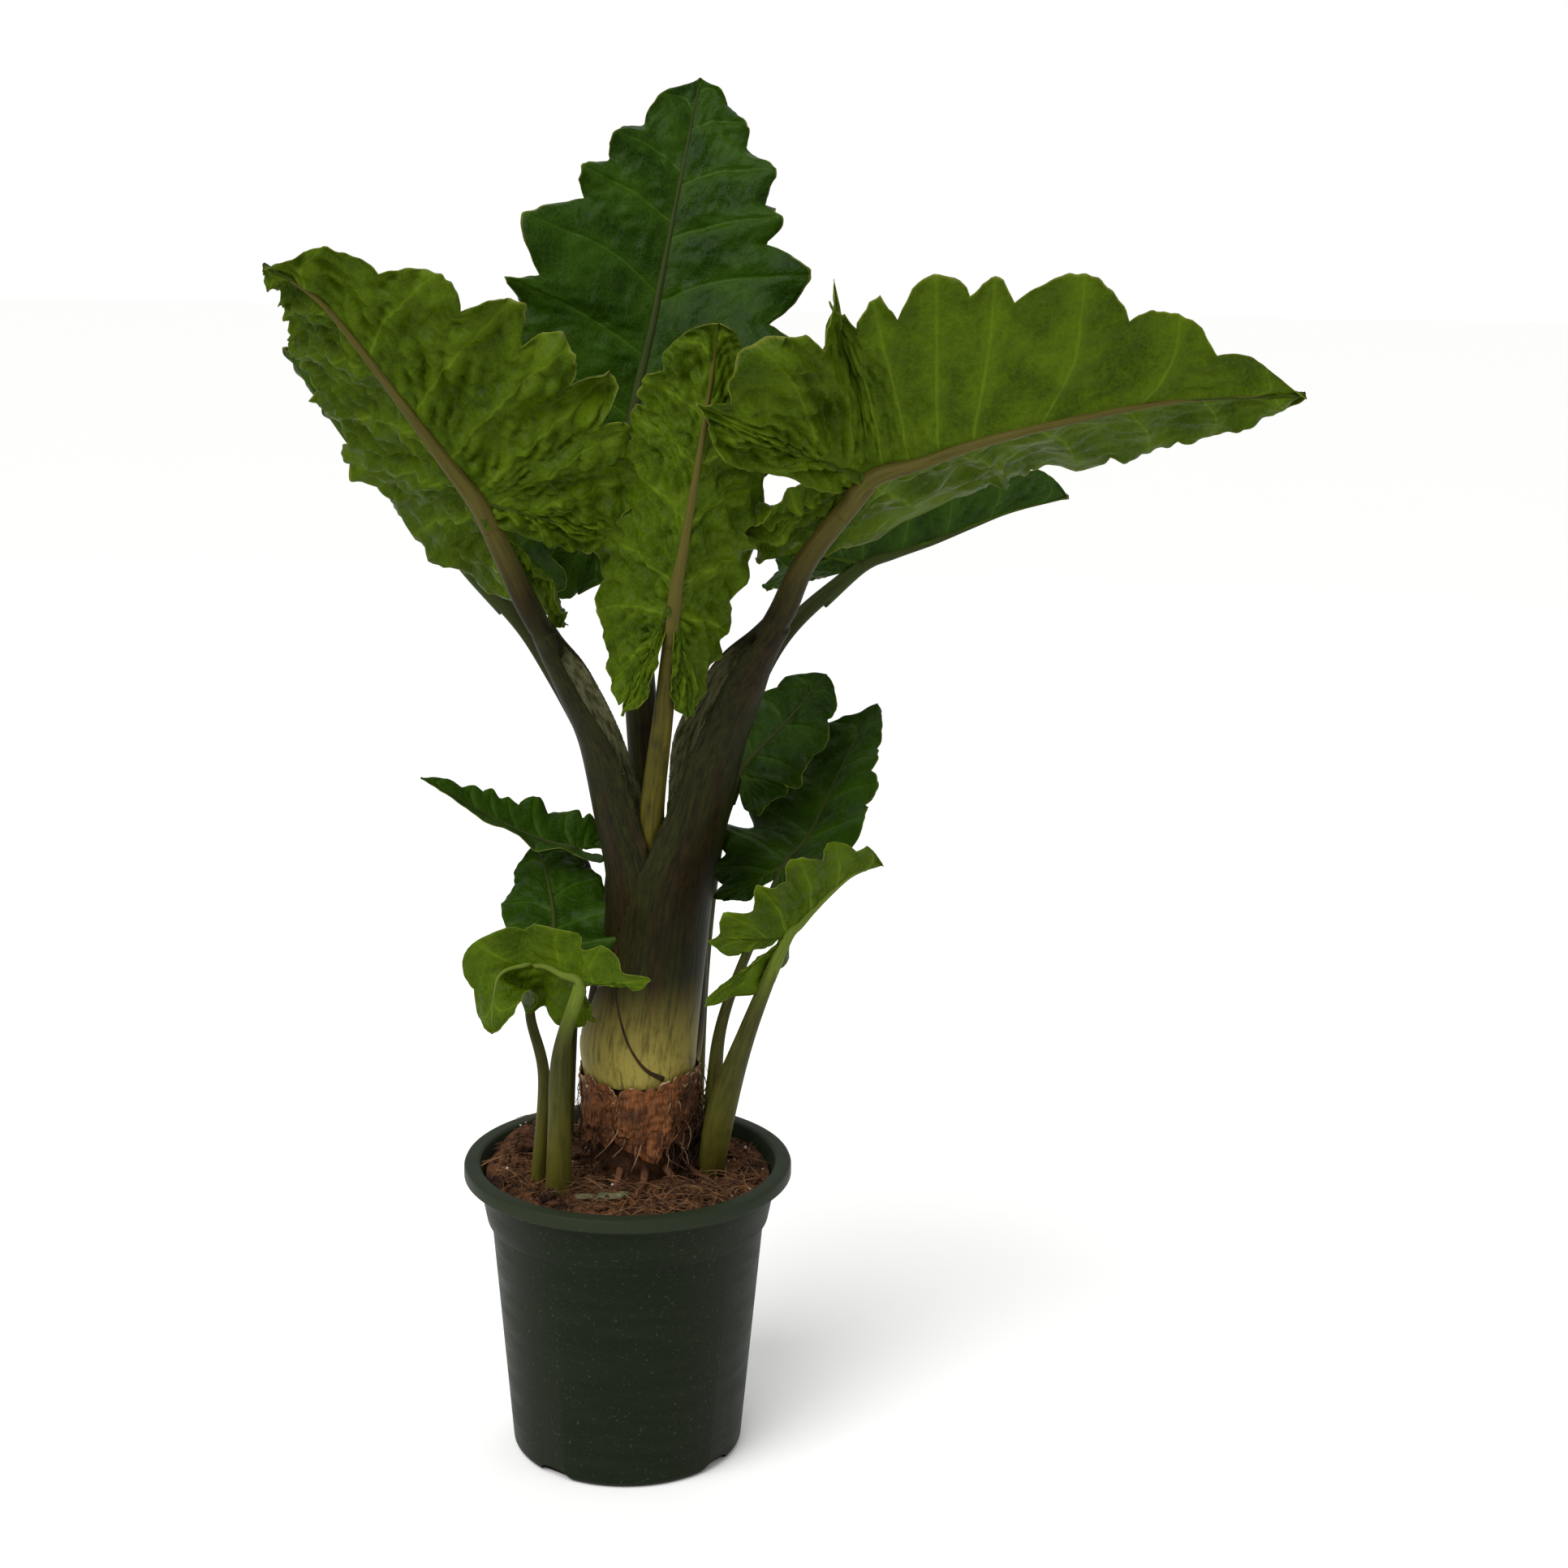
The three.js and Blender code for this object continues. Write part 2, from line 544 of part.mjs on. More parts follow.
function potSolid() {
  const { wall, floor } = POT;
  const collarTop = POT.height - POT.lipDrop - 3;
  const collarFoot = collarTop - POT.collarHeight;
  const round = [];
  for (let i = 0; i <= 4; i += 1) {
    const a = (Math.PI / 2) * (i / 4);
    round.push([
      POT.footRadius - POT.footRound + POT.footRound * Math.sin(a),
      POT.footRound - POT.footRound * Math.cos(a),
    ]);
  }
  const outline = [
    [0, 0],
    ...round,
    [POT.wallTopRadius, collarFoot - 3],
    [POT.collarFootRadius, collarFoot],
    [POT.collarTopRadius, collarTop],
    [POT.collarTopRadius + 4, POT.height - wall - 1], // up into the hollow of the lip
    [POT.rimRadius - wall, POT.height - wall - 2],
    [POT.rimRadius - wall, POT.height - POT.lipDrop],
    [POT.rimRadius, POT.height - POT.lipDrop],
    [POT.rimRadius, POT.height - 3],
    [POT.rimRadius - 3, POT.height],
    [POT.collarTopRadius + 1, POT.height],
    [POT.collarTopRadius - wall, POT.height - 3],
    [POT.collarFootRadius - wall, collarFoot],
    [POT.wallTopRadius - wall, collarFoot - 4],
    [POT.footRadius - wall, POT.footRound],
    [POT.footRadius - POT.footRound, floor],
    [0, floor],
  ];
  const body = new THREE.LatheGeometry(outline.map(([r, z]) => new THREE.Vector2(r, z)), POT.segments);
  let pot = solidOf(body.rotateX(Math.PI / 2));
  for (let i = 0; i < DRAIN.count; i += 1) {
    const notch = new THREE.CylinderGeometry(DRAIN.height, DRAIN.height, 16, 16)
      .rotateZ(Math.PI / 2)
      .scale(1, DRAIN.width / (2 * DRAIN.height), 1)
      .translate(POT.footRadius - 1, 0, 0)
      .rotateZ(THREE.MathUtils.degToRad(DRAIN.firstDeg - 90 + (360 / DRAIN.count) * i));
    pot = pot.subtract(solidOf(notch));
  }
  return pot;
}

function soilHeight(x, y) {
  return SOIL_BUMPS.reduce((z, [bx, by, h, r]) => z + h * Math.exp(-((x - bx) ** 2 + (y - by) ** 2) / r ** 2), SOIL.level);
}

function soilSolid() {
  const inner = (z) => {
    const collarFoot = POT.height - POT.lipDrop - 3 - POT.collarHeight;
    const [low, high] = z < collarFoot ? [POT.footRound, collarFoot - 4] : [collarFoot, POT.height - 3];
    const [foot, top] = z < collarFoot ? [POT.footRadius, POT.wallTopRadius] : [POT.collarFootRadius, POT.collarTopRadius];
    return lerp(foot, top, (z - low) / (high - low)) - POT.wall - SOIL.clearance;
  };
  const collarFoot = POT.height - POT.lipDrop - 3 - POT.collarHeight;
  const side = [
    [POT.footRadius - POT.footRound - 4, POT.floor + SOIL.clearance],
    [inner(POT.footRound + 4) - 0.5, POT.footRound + 5],
    [inner(collarFoot - 5), collarFoot - 5],
    [inner(collarFoot - 5), collarFoot + 1],
    [inner(SOIL.level - 2) - 0.5, SOIL.level - 2],
  ];
  const rings = side.map(([r, z]) => ring(r, () => z));
  for (let i = SOIL.rings - 1; i >= 0; i -= 1) {
    rings.push(ring((inner(SOIL.level) - 2) * ((i + 0.35) / (SOIL.rings - 0.65)), soilHeight));
  }
  return solidOf(loft(rings));

  function ring(r, height) {
    return Array.from({ length: SOIL.segments }, (_, j) => {
      const a = (2 * Math.PI * j) / SOIL.segments;
      const [x, y] = [r * Math.cos(a), r * Math.sin(a)];
      return new THREE.Vector3(x, y, height(x, y));
    });
  }
}

// ---- Corm, scales, roots and litter -----------------------------------------------------------

function cormSolid(grow = 0) {
  const rings = CORM.map(([x, y, z, radius], i) =>
    Array.from({ length: 16 }, (_, j) => {
      const a = (2 * Math.PI * j) / 16;
      const r = radius + grow + (i < CORM.length - 1 ? 1.6 * Math.sin(3 * a + 1.3 * i) : 0);
      return new THREE.Vector3(x + r * Math.cos(a), y + r * Math.sin(a), z + (i === CORM.length - 1 ? grow : 0));
    }),
  );
  return solidOf(loft(rings));
}

// A dry scale: a thin curved wall with a ragged top and foot.
function scaleSolid([from, to, foot, top, radius], index) {
  const steps = 8;
  const thickness = 1.4;
  const rings = [];
  for (let i = 0; i <= steps; i += 1) {
    const t = i / steps;
    const a = THREE.MathUtils.degToRad(lerp(from, to, t));
    const shrink = Math.sin(Math.PI * t) ** 0.5;
    const middle = (foot + top) / 2;
    const high = lerp(middle + 6, top, shrink) + 3 * Math.sin(5 * t + index);
    const low = lerp(middle - 6, foot, shrink) + 3 * Math.sin(7 * t + 2 * index);
    const at = (r, z) => new THREE.Vector3(CORM[2][0] + r * Math.cos(a), CORM[2][1] + r * Math.sin(a), z);
    const lean = 1.5 * Math.sin(3 * t + index);
    rings.push([at(radius + lean + 2, high), at(radius + lean + thickness + 2, high), at(radius + thickness, low), at(radius, low)]);
  }
  return solidOf(loft(rings));
}

function rootSolid([direction, run, bend]) {
  const rows = [0, 0.35, 0.7, 1].map((t) => {
    const a = THREE.MathUtils.degToRad(direction + bend * t);
    const r = 36 + run * t;
    const [x, y] = [CORM[0][0] + r * Math.cos(a), CORM[0][1] + r * Math.sin(a)];
    const z = t === 0 ? soilHeight(x, y) + 14 : soilHeight(x, y) + 4 - 5 * t ** 3;
    return [x, y, z, lerp(3.4, 1.6, t)];
  });
  return roundStalk(rows, 0, 6);
}

// A curled flake or a chip of bark lying on the mix.
function litterSolid([x, y, length, width, thickness, turn]) {
  const rings = [];
  for (let i = 0; i <= 6; i += 1) {
    const t = (2 * i) / 6 - 1;
    const half = (width / 2) * Math.sqrt(1.06 - t * t);
    const along = (length / 2) * t;
    const sag = 2.5 * t * t;
    rings.push([
      new THREE.Vector3(along, -half, sag),
      new THREE.Vector3(along, half, sag + 1),
      new THREE.Vector3(along, half * 0.9, sag + 1 + thickness),
      new THREE.Vector3(along, -half * 0.9, sag + thickness),
    ]);
  }
  const geometry = loft(rings).rotateZ(THREE.MathUtils.degToRad(turn));
  return solidOf(geometry.translate(x, y, soilHeight(x, y) + 1.2));
}

// ---- Build ----------------------------------------------------------------------------------

const plant = new THREE.Group();

// Pieces go in one after the other: each keeps clear of all the pieces before it.
const placed = [];
function add(name, build, material) {
  let solid = build(0);
  for (const other of placed) solid = solid.subtract(other);
  const body = largest(solid);
  const mesh = new THREE.Mesh(geometryOfSolid(body), material);
  mesh.name = name;
  plant.add(mesh);
  placed.push(build(GAP));
}

for (const name of ["centre", "back", "left", "right"]) {
  add(`petiole_${name}`, (grow) => roundStalk(ROUND_PETIOLES[name], grow), MATERIALS.stalk);
}
for (const name of ["front_left", "front_right"]) {
  add(`petiole_${name}`, (grow) => sheathStalk(SHEATHS[name], grow), MATERIALS.stalk);
}
for (const name of Object.keys(SMALL_LEAVES)) {
  add(`petiole_${name}`, (grow) => roundStalk(ROUND_PETIOLES[name], grow), MATERIALS.stalk);
}
add("corm", cormSolid, MATERIALS.corm);
SCALES.forEach((scale, i) => add(`dry_scale_${i + 1}`, () => scaleSolid(scale, i), MATERIALS.corm));
ROOTS.forEach((root, i) => add(`root_${i + 1}`, () => rootSolid(root), MATERIALS.corm));
for (const [name, leaf] of Object.entries({ ...BIG_LEAVES, ...SMALL_LEAVES })) {
  const rows = name in BIG_LEAVES ? [30, 10, 10] : [16, 6, 6];
  const material = name === "back" ? MATERIALS.oldBlade : MATERIALS.youngBlade;
  add(`blade_${name}`, (grow) => blade(leaf, rows, BLADE_THICKNESS + 2 * grow), material);
}
add("grower_pot", potSolid, MATERIALS.pot);
add("potting_mix", soilSolid, MATERIALS.mix);
LITTER.forEach((bit, i) => add(`litter_${i + 1}`, () => litterSolid(bit), MATERIALS.corm));

export default plant;
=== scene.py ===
import functools
import math
import random

import bpy
import numpy as np
from mathutils import Matrix, Vector
from mathutils.bvhtree import BVHTree


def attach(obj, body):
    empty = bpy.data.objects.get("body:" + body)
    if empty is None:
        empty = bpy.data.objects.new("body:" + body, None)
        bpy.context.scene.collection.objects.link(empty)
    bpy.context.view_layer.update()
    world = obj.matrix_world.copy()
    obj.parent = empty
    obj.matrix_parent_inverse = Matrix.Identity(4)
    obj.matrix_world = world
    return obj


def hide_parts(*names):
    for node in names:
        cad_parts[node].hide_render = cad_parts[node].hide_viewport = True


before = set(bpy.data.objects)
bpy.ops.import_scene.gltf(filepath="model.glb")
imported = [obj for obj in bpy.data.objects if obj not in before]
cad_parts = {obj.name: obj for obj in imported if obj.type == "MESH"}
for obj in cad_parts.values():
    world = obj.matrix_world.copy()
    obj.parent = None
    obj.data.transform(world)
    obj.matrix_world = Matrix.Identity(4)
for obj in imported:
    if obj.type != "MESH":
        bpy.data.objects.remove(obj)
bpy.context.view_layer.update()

bl_info = {
    "name": "Potted Alocasia",
    "version": (1, 0, 0),
    "blender": (4, 5, 0),
    "location": "View3D > Sidebar > Alocasia",
    "description": "Models a potted alocasia: its leaves, stalks, corm, mix and grower's pot",
    "category": "Object",
}


def linear(code):
    """The linear colour of an sRGB hex value, as materials and colour settings take it."""
    parts = [int(code[i : i + 2], 16) / 255 for i in (1, 3, 5)]
    return (*[c / 12.92 if c <= 0.04045 else ((c + 0.055) / 1.055) ** 2.4 for c in parts], 1.0)


# ---- Sizes of the plant, in millimetres ---------------------------------------------------------

POT = {
    "height": 250, "rim_radius": 135, "lip_drop": 11, "lip": 3, "collar_top_radius": 123,
    "collar_foot_radius": 116, "collar_height": 35, "wall_top_radius": 112.5, "foot_radius": 96,
    "foot_round": 7, "wall": 2.2, "floor": 2.5,
}
DRAIN = {"count": 4, "first": -36, "width": 34, "height": 9}  # first: direction in degrees
MIX = {"level": 236, "clearance": 0.6}
# Heaps of mix: x, y, height and radius.
MIX_HEAPS = (
    (-84, 52, 17, 34), (-96, -10, 7, 26), (-20, -84, 5, 30), (66, -62, 5, 34), (80, 44, 7, 30),
    (0, 84, 6, 40),
)


def leaf(
    spine, face, width, lobe, fold, notches, depth, ripple,
    taper=(0.75, 0.75), curl=(0, 0), blunt=2.4, tip_face=None,
):
    """One blade of the tables below. Spine: heel, stalk joint, two points on the midrib, and the tip.
    Face: the way the upper side looks at the joint, and at the tip if that differs. Some values are pairs,
    for the left and the right half seen from above with the tip forward: half width; lobe end, sideways
    and backwards; fold up at heel, middle and tip, and curl towards the margin, in degrees; how slim the
    front is (taper); and where the margin is notched, from 0 at the tip through 1 at the shoulder to 2 at
    the lobe's end. Depth: of the notches. Blunt: how full the margin is between two notches. Ripple:
    height of the margin's waves."""
    return {
        "spine": spine, "face": (face, tip_face or face), "width": width, "lobe": lobe, "fold": fold,
        "notches": notches, "depth": depth, "ripple": ripple, "taper": taper, "curl": curl, "blunt": blunt,
    }


BIG_LEAVES = {
    "front_left": leaf(
        ((-50, -62, 735), (-107, -98, 805), (-158, -133, 881), (-207, -163, 950), (-243, -183, 976)),
        face=(0.1, 0.85, 0.45), width=(120, 118), lobe=((66, -94), (24, -132)),
        fold=((8, 14, 10), (24, 28, 24)), depth=0.22, ripple=8, taper=(0.92, 0.86), curl=(10, 10),
        notches=((0.24, 0.46, 0.66, 0.86, 1.06, 1.32, 1.6), (0.12, 0.27, 0.5, 0.75, 1, 1.35, 1.7)),
    ),
    "front_right": leaf(
        ((86, -128, 812), (184, -90, 825), (275, -110, 858), (400, -100, 885), (505, -85, 890)),
        face=(-0.1, 0.75, 0.6), width=(114, 138), lobe=((74, -92), (70, -132)),
        fold=((13, 28, 6), (16, 20, 14)), depth=0.26, ripple=7, taper=(0.76, 1.08),
        notches=(
            (0.12, 0.26, 0.42, 0.62, 0.85, 1.15, 1.5),
            (0.22, 0.4, 0.62, 0.7, 0.8, 0.88, 0.99, 1.3, 1.65),
        ),
    ),
    "centre": leaf(
        ((26, -84, 640), (41, -102, 738), (54, -118, 815), (66, -134, 890), (72, -142, 940)),
        face=(0, 0.95, 0.2), width=(56, 72), lobe=((28, -104), (30, -108)),
        fold=((34, 24, 10), (34, 24, 10)), depth=0.26, ripple=7, taper=(0.6, 0.62), curl=(16, 16),
        notches=((0.1, 0.36, 0.5, 0.78, 1.08, 1.45, 1.8), (0.2, 0.36, 0.5, 0.78, 1.1, 1.4, 1.75)),
    ),
    "back": leaf(
        ((10, 84, 712), (-7, 112, 822), (12, 134, 930), (30, 156, 1030), (46, 190, 1120)),
        face=(0, -0.95, 0.3), width=(130, 124), lobe=((56, -112), (66, -108)),
        fold=((6, 12, 8), (6, 12, 8)), depth=0.34, ripple=8, taper=(0.8, 0.68), blunt=1.4,
        notches=((0.15, 0.27, 0.38, 0.61, 0.71, 1, 1.4), (0.06, 0.17, 0.31, 0.41, 0.62, 0.9, 1.3)),
    ),
    "left": leaf(
        ((-84, 40, 680), (-131, 65, 726), (-178, 80, 772), (-227, 95, 818), (-290, 122, 900)),
        face=(0.45, 0.5, 0.8), width=(92, 92), lobe=((48, -70), (48, -70)),
        fold=((44, 44, 30), (20, 20, 10)), depth=0.18, ripple=7,
        notches=((0.2, 0.4, 0.6, 0.85, 1.15, 1.5), (0.2, 0.4, 0.6, 0.85, 1.15, 1.5)),
    ),
    "right": leaf(
        ((130, 40, 716), (185, 60, 739), (246, 78, 758), (300, 86, 779), (352, 92, 792)),
        face=(-0.3, 0.2, 0.9), width=(96, 96), lobe=((50, -70), (50, -70)),
        fold=((20, 20, 10), (60, 54, 40)), depth=0.18, ripple=7,
        notches=((0.2, 0.4, 0.6, 0.85, 1.15, 1.5), (0.2, 0.4, 0.6, 0.85, 1.15, 1.5)),
    ),
}
SMALL_LEAVES = {
    "left_shoot_front": leaf(
        ((16, -100, 422), (-32, -75, 424), (-66, -62, 434), (-98, -68, 426), (-101, -90, 386)),
        face=(0, 0.9, 0.45), tip_face=(0.5, 0.8, 0.3), width=(36, 46), lobe=((14, -62), (42, -2)),
        fold=((10, 10, 10), (0, 0, 0)), depth=0.24, ripple=5, taper=(0.6, 0.6),
        notches=((0.3, 0.6, 1, 1.5), (0.35, 0.8, 1.3)),
    ),
    "left_shoot_rear": leaf(
        ((-50, -44, 418), (-58, -22, 437), (-62, 10, 459), (-72, 42, 486), (-82, 62, 500)),
        face=(0, -0.5, 0.8), width=(42, 50), lobe=((24, -34), (24, -34)), fold=((0, 0, 0), (0, 0, 0)),
        depth=0.18, ripple=5, taper=(0.7, 0.7), blunt=1.8, notches=((0.35, 0.8, 1.4), (0.3, 0.6, 0.9, 1.4)),
    ),
    "left_shoot_long": leaf(
        ((-25, 46, 496), (-46, 40, 502), (-80, 36, 513), (-122, 30, 535), (-170, 25, 564)),
        face=(0.3, -0.3, 0.9), width=(26, 30), lobe=((16, -30), (16, -30)),
        fold=((30, 20, 20), (30, 30, 30)), depth=0.26, ripple=4, taper=(0.85, 0.85),
        notches=((0.3, 0.6, 1, 1.5), (0.24, 0.36, 0.48, 0.6, 0.8, 1.1, 1.5)),
    ),
    "right_shoot_front": leaf(
        ((96, -56, 436), (128, -45, 456), (150, -32, 476), (178, -12, 497), (204, 4, 503)),
        face=(-0.3, 0.75, 0.5), width=(32, 50), lobe=((12, -84), (40, -56)),
        fold=((-10, 40, 40), (10, 10, 10)), depth=0.2, ripple=5,
        notches=((0.3, 0.7, 1.2), (0.25, 0.5, 0.8, 1.2, 1.6)),
    ),
    "right_shoot_tall": leaf(
        ((112, 20, 470), (125, 35, 493), (147, 60, 515), (174, 98, 566), (202, 128, 610)),
        face=(-0.5, -0.6, 0.6), width=(70, 56), lobe=((40, -44), (30, -50)), fold=((0, 0, 0), (10, 10, 10)),
        depth=0.22, ripple=5, blunt=1.8, notches=((0.35, 0.6, 0.8, 1.1, 1.5), (0.25, 0.4, 0.6, 0.85, 1.3)),
    ),
    "right_shoot_rear": leaf(
        ((78, 66, 530), (90, 85, 562), (119, 100, 592), (140, 112, 615), (158, 122, 636)),
        face=(-0.5, -0.7, 0.4), width=(48, 48), lobe=((30, -40), (30, -40)), fold=((0, 0, 0), (0, 0, 0)),
        depth=0.2, ripple=5, taper=(0.6, 0.6), blunt=1.8, notches=((0.3, 0.6, 1, 1.5), (0.3, 0.6, 1, 1.5)),
    ),
}
OLD_LEAVES = (
    "back", "left", "right", "left_shoot_rear", "left_shoot_long", "right_shoot_tall", "right_shoot_rear",
)
# How crumpled a young blade still is, in front and at the lobes. The others are 1, the older ones 0.45.
CRUMPLE = {"front_left": (1.7, 1.8), "centre": (1.9, 2.1), "front_right": (0.6, 2.0)}
# Plain stalks: x, y, z and radius, from the foot up to the blade.
ROUND_STALKS = {
    "centre": (
        (20, -6, 319, 9), (21, -9, 440, 9.5), (20, -26, 545, 9.5), (31, -62, 644, 7.5),
        (41, -101, 737, 5.5),
    ),
    "back": (
        (8, 48, 262, 10.5), (10, 66, 330, 12), (13, 72, 445, 13.5), (10, 74, 545, 13.5), (3, 80, 650, 12.5),
        (-7, 111, 819, 7),
    ),
    "left": (
        (-18, 36, 262, 8), (-33, 54, 330, 8.5), (-18, 51, 440, 8.5), (-16, 45, 545, 8.5), (-74, 44, 665, 7),
        (-129, 64, 724, 5.5),
    ),
    "right": (
        (34, 38, 262, 8), (50, 55, 330, 9), (55, 53, 445, 9), (66, 45, 545, 9), (114, 34, 672, 7),
        (183, 59, 739, 5.5),
    ),
    "left_shoot_front": (
        (-54, -40, 224, 11), (-52, -56, 300, 9.5), (-50, -66, 360, 7), (-34, -75, 422, 4.5),
    ),
    "left_shoot_rear": (
        (-74, -22, 224, 6.5), (-66, -36, 330, 5), (-77, -34, 390, 4), (-60, -23, 434, 3.5),
    ),
    "left_shoot_long": (
        (-56, 46, 224, 6), (-50, 66, 380, 5), (-38, 60, 470, 4), (-45, 42, 499, 3.5),
    ),
    "right_shoot_front": (
        (66, 10, 224, 11), (77, -22, 300, 12), (98, -40, 375, 7.5), (127, -45, 454, 4.5),
    ),
    "right_shoot_tall": (
        (66, 34, 224, 7.5), (70, 8, 310, 6.5), (80, 6, 380, 4.5), (124, 34, 490, 3.5),
    ),
    "right_shoot_rear": (
        (52, 72, 224, 6.5), (58, 84, 380, 5), (70, 80, 500, 4.5), (88, 84, 559, 3.5),
    ),
}
# Sheathing stalks. Wall: x, y, z, outer radius and thickness, then the directions of its front margin,
# its back and its rear margin, in degrees. Neck: the round part above.
SHEATHS = {
    "front_left": {
        "wall": (
            (8, 12, 319, 38, 4, 262, 160, 50), (7, 12, 350, 41, 4, 262, 160, 50),
            (13, 10, 395, 39, 5, 264, 160, 50), (18, 8, 445, 39, 6, 268, 160, 60),
            (21, 5, 490, 40, 7, 273, 160, 72), (8, 2, 540, 36, 8, 278, 160, 80),
            (-12, -12, 602, 27, 9, 279, 160, 74), (-35, -30, 649, 19, 9, 276, 160, 56),
            (-54, -48, 682, 12.5, 11, 300, 160, 16), (-62, -60, 700, 10, 9.6, 337, 160, -17),
        ),
        "neck": (
            (-50, -44, 676, 2), (-60, -56, 694, 8), (-72, -69, 720, 9.4), (-88, -80, 758, 8.8),
            (-106, -97, 802, 7.5),
        ),
    },
    "front_right": {
        "wall": (
            (8, 12, 319, 46, 5, -198, 20, 150), (7, 12, 350, 49, 5, -176, 20, 150),
            (13, 10, 395, 47, 5, -150, 20, 140), (19, 8, 445, 46, 6, -131, 20, 115),
            (27, 4, 500, 44, 7, -115, 20, 95), (42, -2, 545, 39, 8, -113, 20, 112),
            (60, -10, 605, 34, 9, -105, 20, 140), (84, -26, 657, 25, 9, -118, 20, 152),
            (106, -38, 690, 14.5, 11, -140, 20, 178), (118, -50, 708, 11, 10.6, -157, 20, 197),
        ),
        "neck": (
            (102, -34, 682, 2), (110, -44, 700, 8), (121, -52, 718, 10.4), (140, -66, 762, 9),
            (184, -90, 822, 7.5),
        ),
    },
}
# The dried margin of the outer sheath, seen from the front: x, z and radius.
DRIED_MARGIN = ((-8, 440, 0.4), (-8, 402, 0.8), (0, 366, 1.0), (14, 341, 1.4), (30, 329, 2.0))
# Corm: x, y, z and radius.
CORM = (
    (12, 12, 222, 30), (10, 12, 240, 36), (9, 12, 262, 38), (8, 12, 286, 40), (8, 12, 306, 41),
    (8, 12, 317.5, 38),
)
# Dry scales: first and last direction in degrees, top and radius.
DRY_SCALES = (
    (-172, -118, 316, 45), (-114, -62, 312, 45.5), (-58, -4, 320, 45), (2, 62, 318, 45), (70, 178, 316, 45),
)
# Roots: direction in degrees, run and bend.
ROOTS = ((-118, 34, 12), (-84, 44, -10), (-58, 30, 14), (-20, 36, -12), (150, 30, 10))
# Bits on the mix: x, y, length, width, thickness and turn.
LITTER = (
    (-16, -72, 42, 15, 2.4, 12), (84, -2, 22, 7, 4, 24), (-86, 20, 24, 15, 9, 50), (34, -82, 18, 9, 4, -30),
    (-62, -68, 16, 9, 5, 70), (-30, 88, 26, 12, 5, 15),
)

# ---- Detail, light and camera --------------------------------------------------------------------

THIN_FLAKE = 3  # a flake thinner than this is a dry leaf, a thicker one bark
# Lamps: the setting and the share of it that give the power, size and place in metres.
LAMPS = {
    "key": ("key", 1, 1.8, (-1.7, -1.9, 2.3)),
    "fill": ("fill", 1, 1.6, (2.2, -1.2, 1.5)),
    "top": ("key", 0.8, 1.6, (0.3, 1.1, 2.9)),
}
LAMPS_AIM = (0, 0, 0.6)
SKYLIGHT_WAY, SKYLIGHT_WIDTH = (0.5, 0.75, -1), 50
# The camera: place in metres, tilt down and turn in degrees, lens and sensor width in millimetres.
CAMERA = {"place": (0.124, -2.0, 1.036), "pitch": 13.14, "roll": 0.91, "lens": 58.96, "sensor": 36}
# Cells of a half blade: along the front, along the lobe and across.
BIG_CELLS, SMALL_CELLS = (150, 56, 34), (80, 34, 20)
# Cells of other grids: around or across, and along.
WALL_CELLS, MIX_CELLS, CORM_CELLS = (96, 90), (300, 84), (96, 60)
SCALE_CELLS, FLAKE_CELLS, FIBRE_CELLS = (70, 30), (18, 40), (4, 6)
SPINE_STEPS = 200  # along a blade's spine, when its length is measured
STATIONS, BATCH = 160, 20000  # places along a sheath's path, and vertices matched to them at a time
SCALE_LAYERS, PAPER, DRY_LEAF, BARK = 3, 0.0006, 0.0009, 0.0028  # thicknesses in metres
# Index of refraction and specular level: waxy blade, fleshy stalk, dull matter, moulded pot, dry scale.
WAXY, FLESHY, DULL, MOULDED, PAPERY = (1.42, 0.08), (1.42, 0.12), (1.45, 0.2), (1.49, 0.07), (1.45, 0.3)
WAVE = 6.283  # one turn in radians, as the random angles take it

# ---- Settings that a user would change -----------------------------------------------------------


def colour(name, description, default):
    """A colour setting, given as an sRGB hex value."""
    return bpy.props.FloatVectorProperty(
        name=name, description=description, default=linear(default), size=4, min=0, max=1, subtype="COLOR"
    )


def count(name, description, default, least=0):
    """A whole number setting."""
    return bpy.props.IntProperty(name=name, description=description, default=default, min=least)


def amount(name, description, default, unit="NONE"):
    """A setting of zero or more."""
    return bpy.props.FloatProperty(name=name, description=description, default=default, min=0, unit=unit)


class LeafSettings(bpy.types.PropertyGroup):
    sheet: amount("Blade thickness", "Thickness of the blade between its veins", 0.0010, "LENGTH")
    rib: amount("Rib thickness", "Thickness of the ribs where the stalk joins them", 0.0060, "LENGTH")
    quilting: amount("Quilting", "How far the blade swells up between two side veins", 0.0046, "LENGTH")
    dents: amount("Dents", "Depth of the puckers all over a blade", 0.0027, "LENGTH")
    young_back: colour("Young leaf, back", "Underside of the young front leaves", "#334002")
    young_back_light: colour("Young leaf, pale back", "Paler parts of that underside", "#63780f")
    young_face: colour("Young leaf, face", "Upper side of the young leaves", "#304401")
    young_face_light: colour("Young leaf, pale face", "Paler parts of that upper side", "#52680a")
    old_face: colour("Old leaf, face", "Upper side of the older leaves", "#132801")
    old_face_light: colour("Old leaf, pale face", "Paler parts of that upper side", "#2f4a07")
    old_back: colour("Old leaf, back", "Underside of the older leaves", "#20330a")
    old_back_light: colour("Old leaf, pale back", "Paler parts of that underside", "#3f5418")
    rib_back: colour("Rib, back", "Raised ribs under a blade", "#4c431a")
    rib_face: colour("Rib, face", "Ribs on the upper side", "#3a4a10")


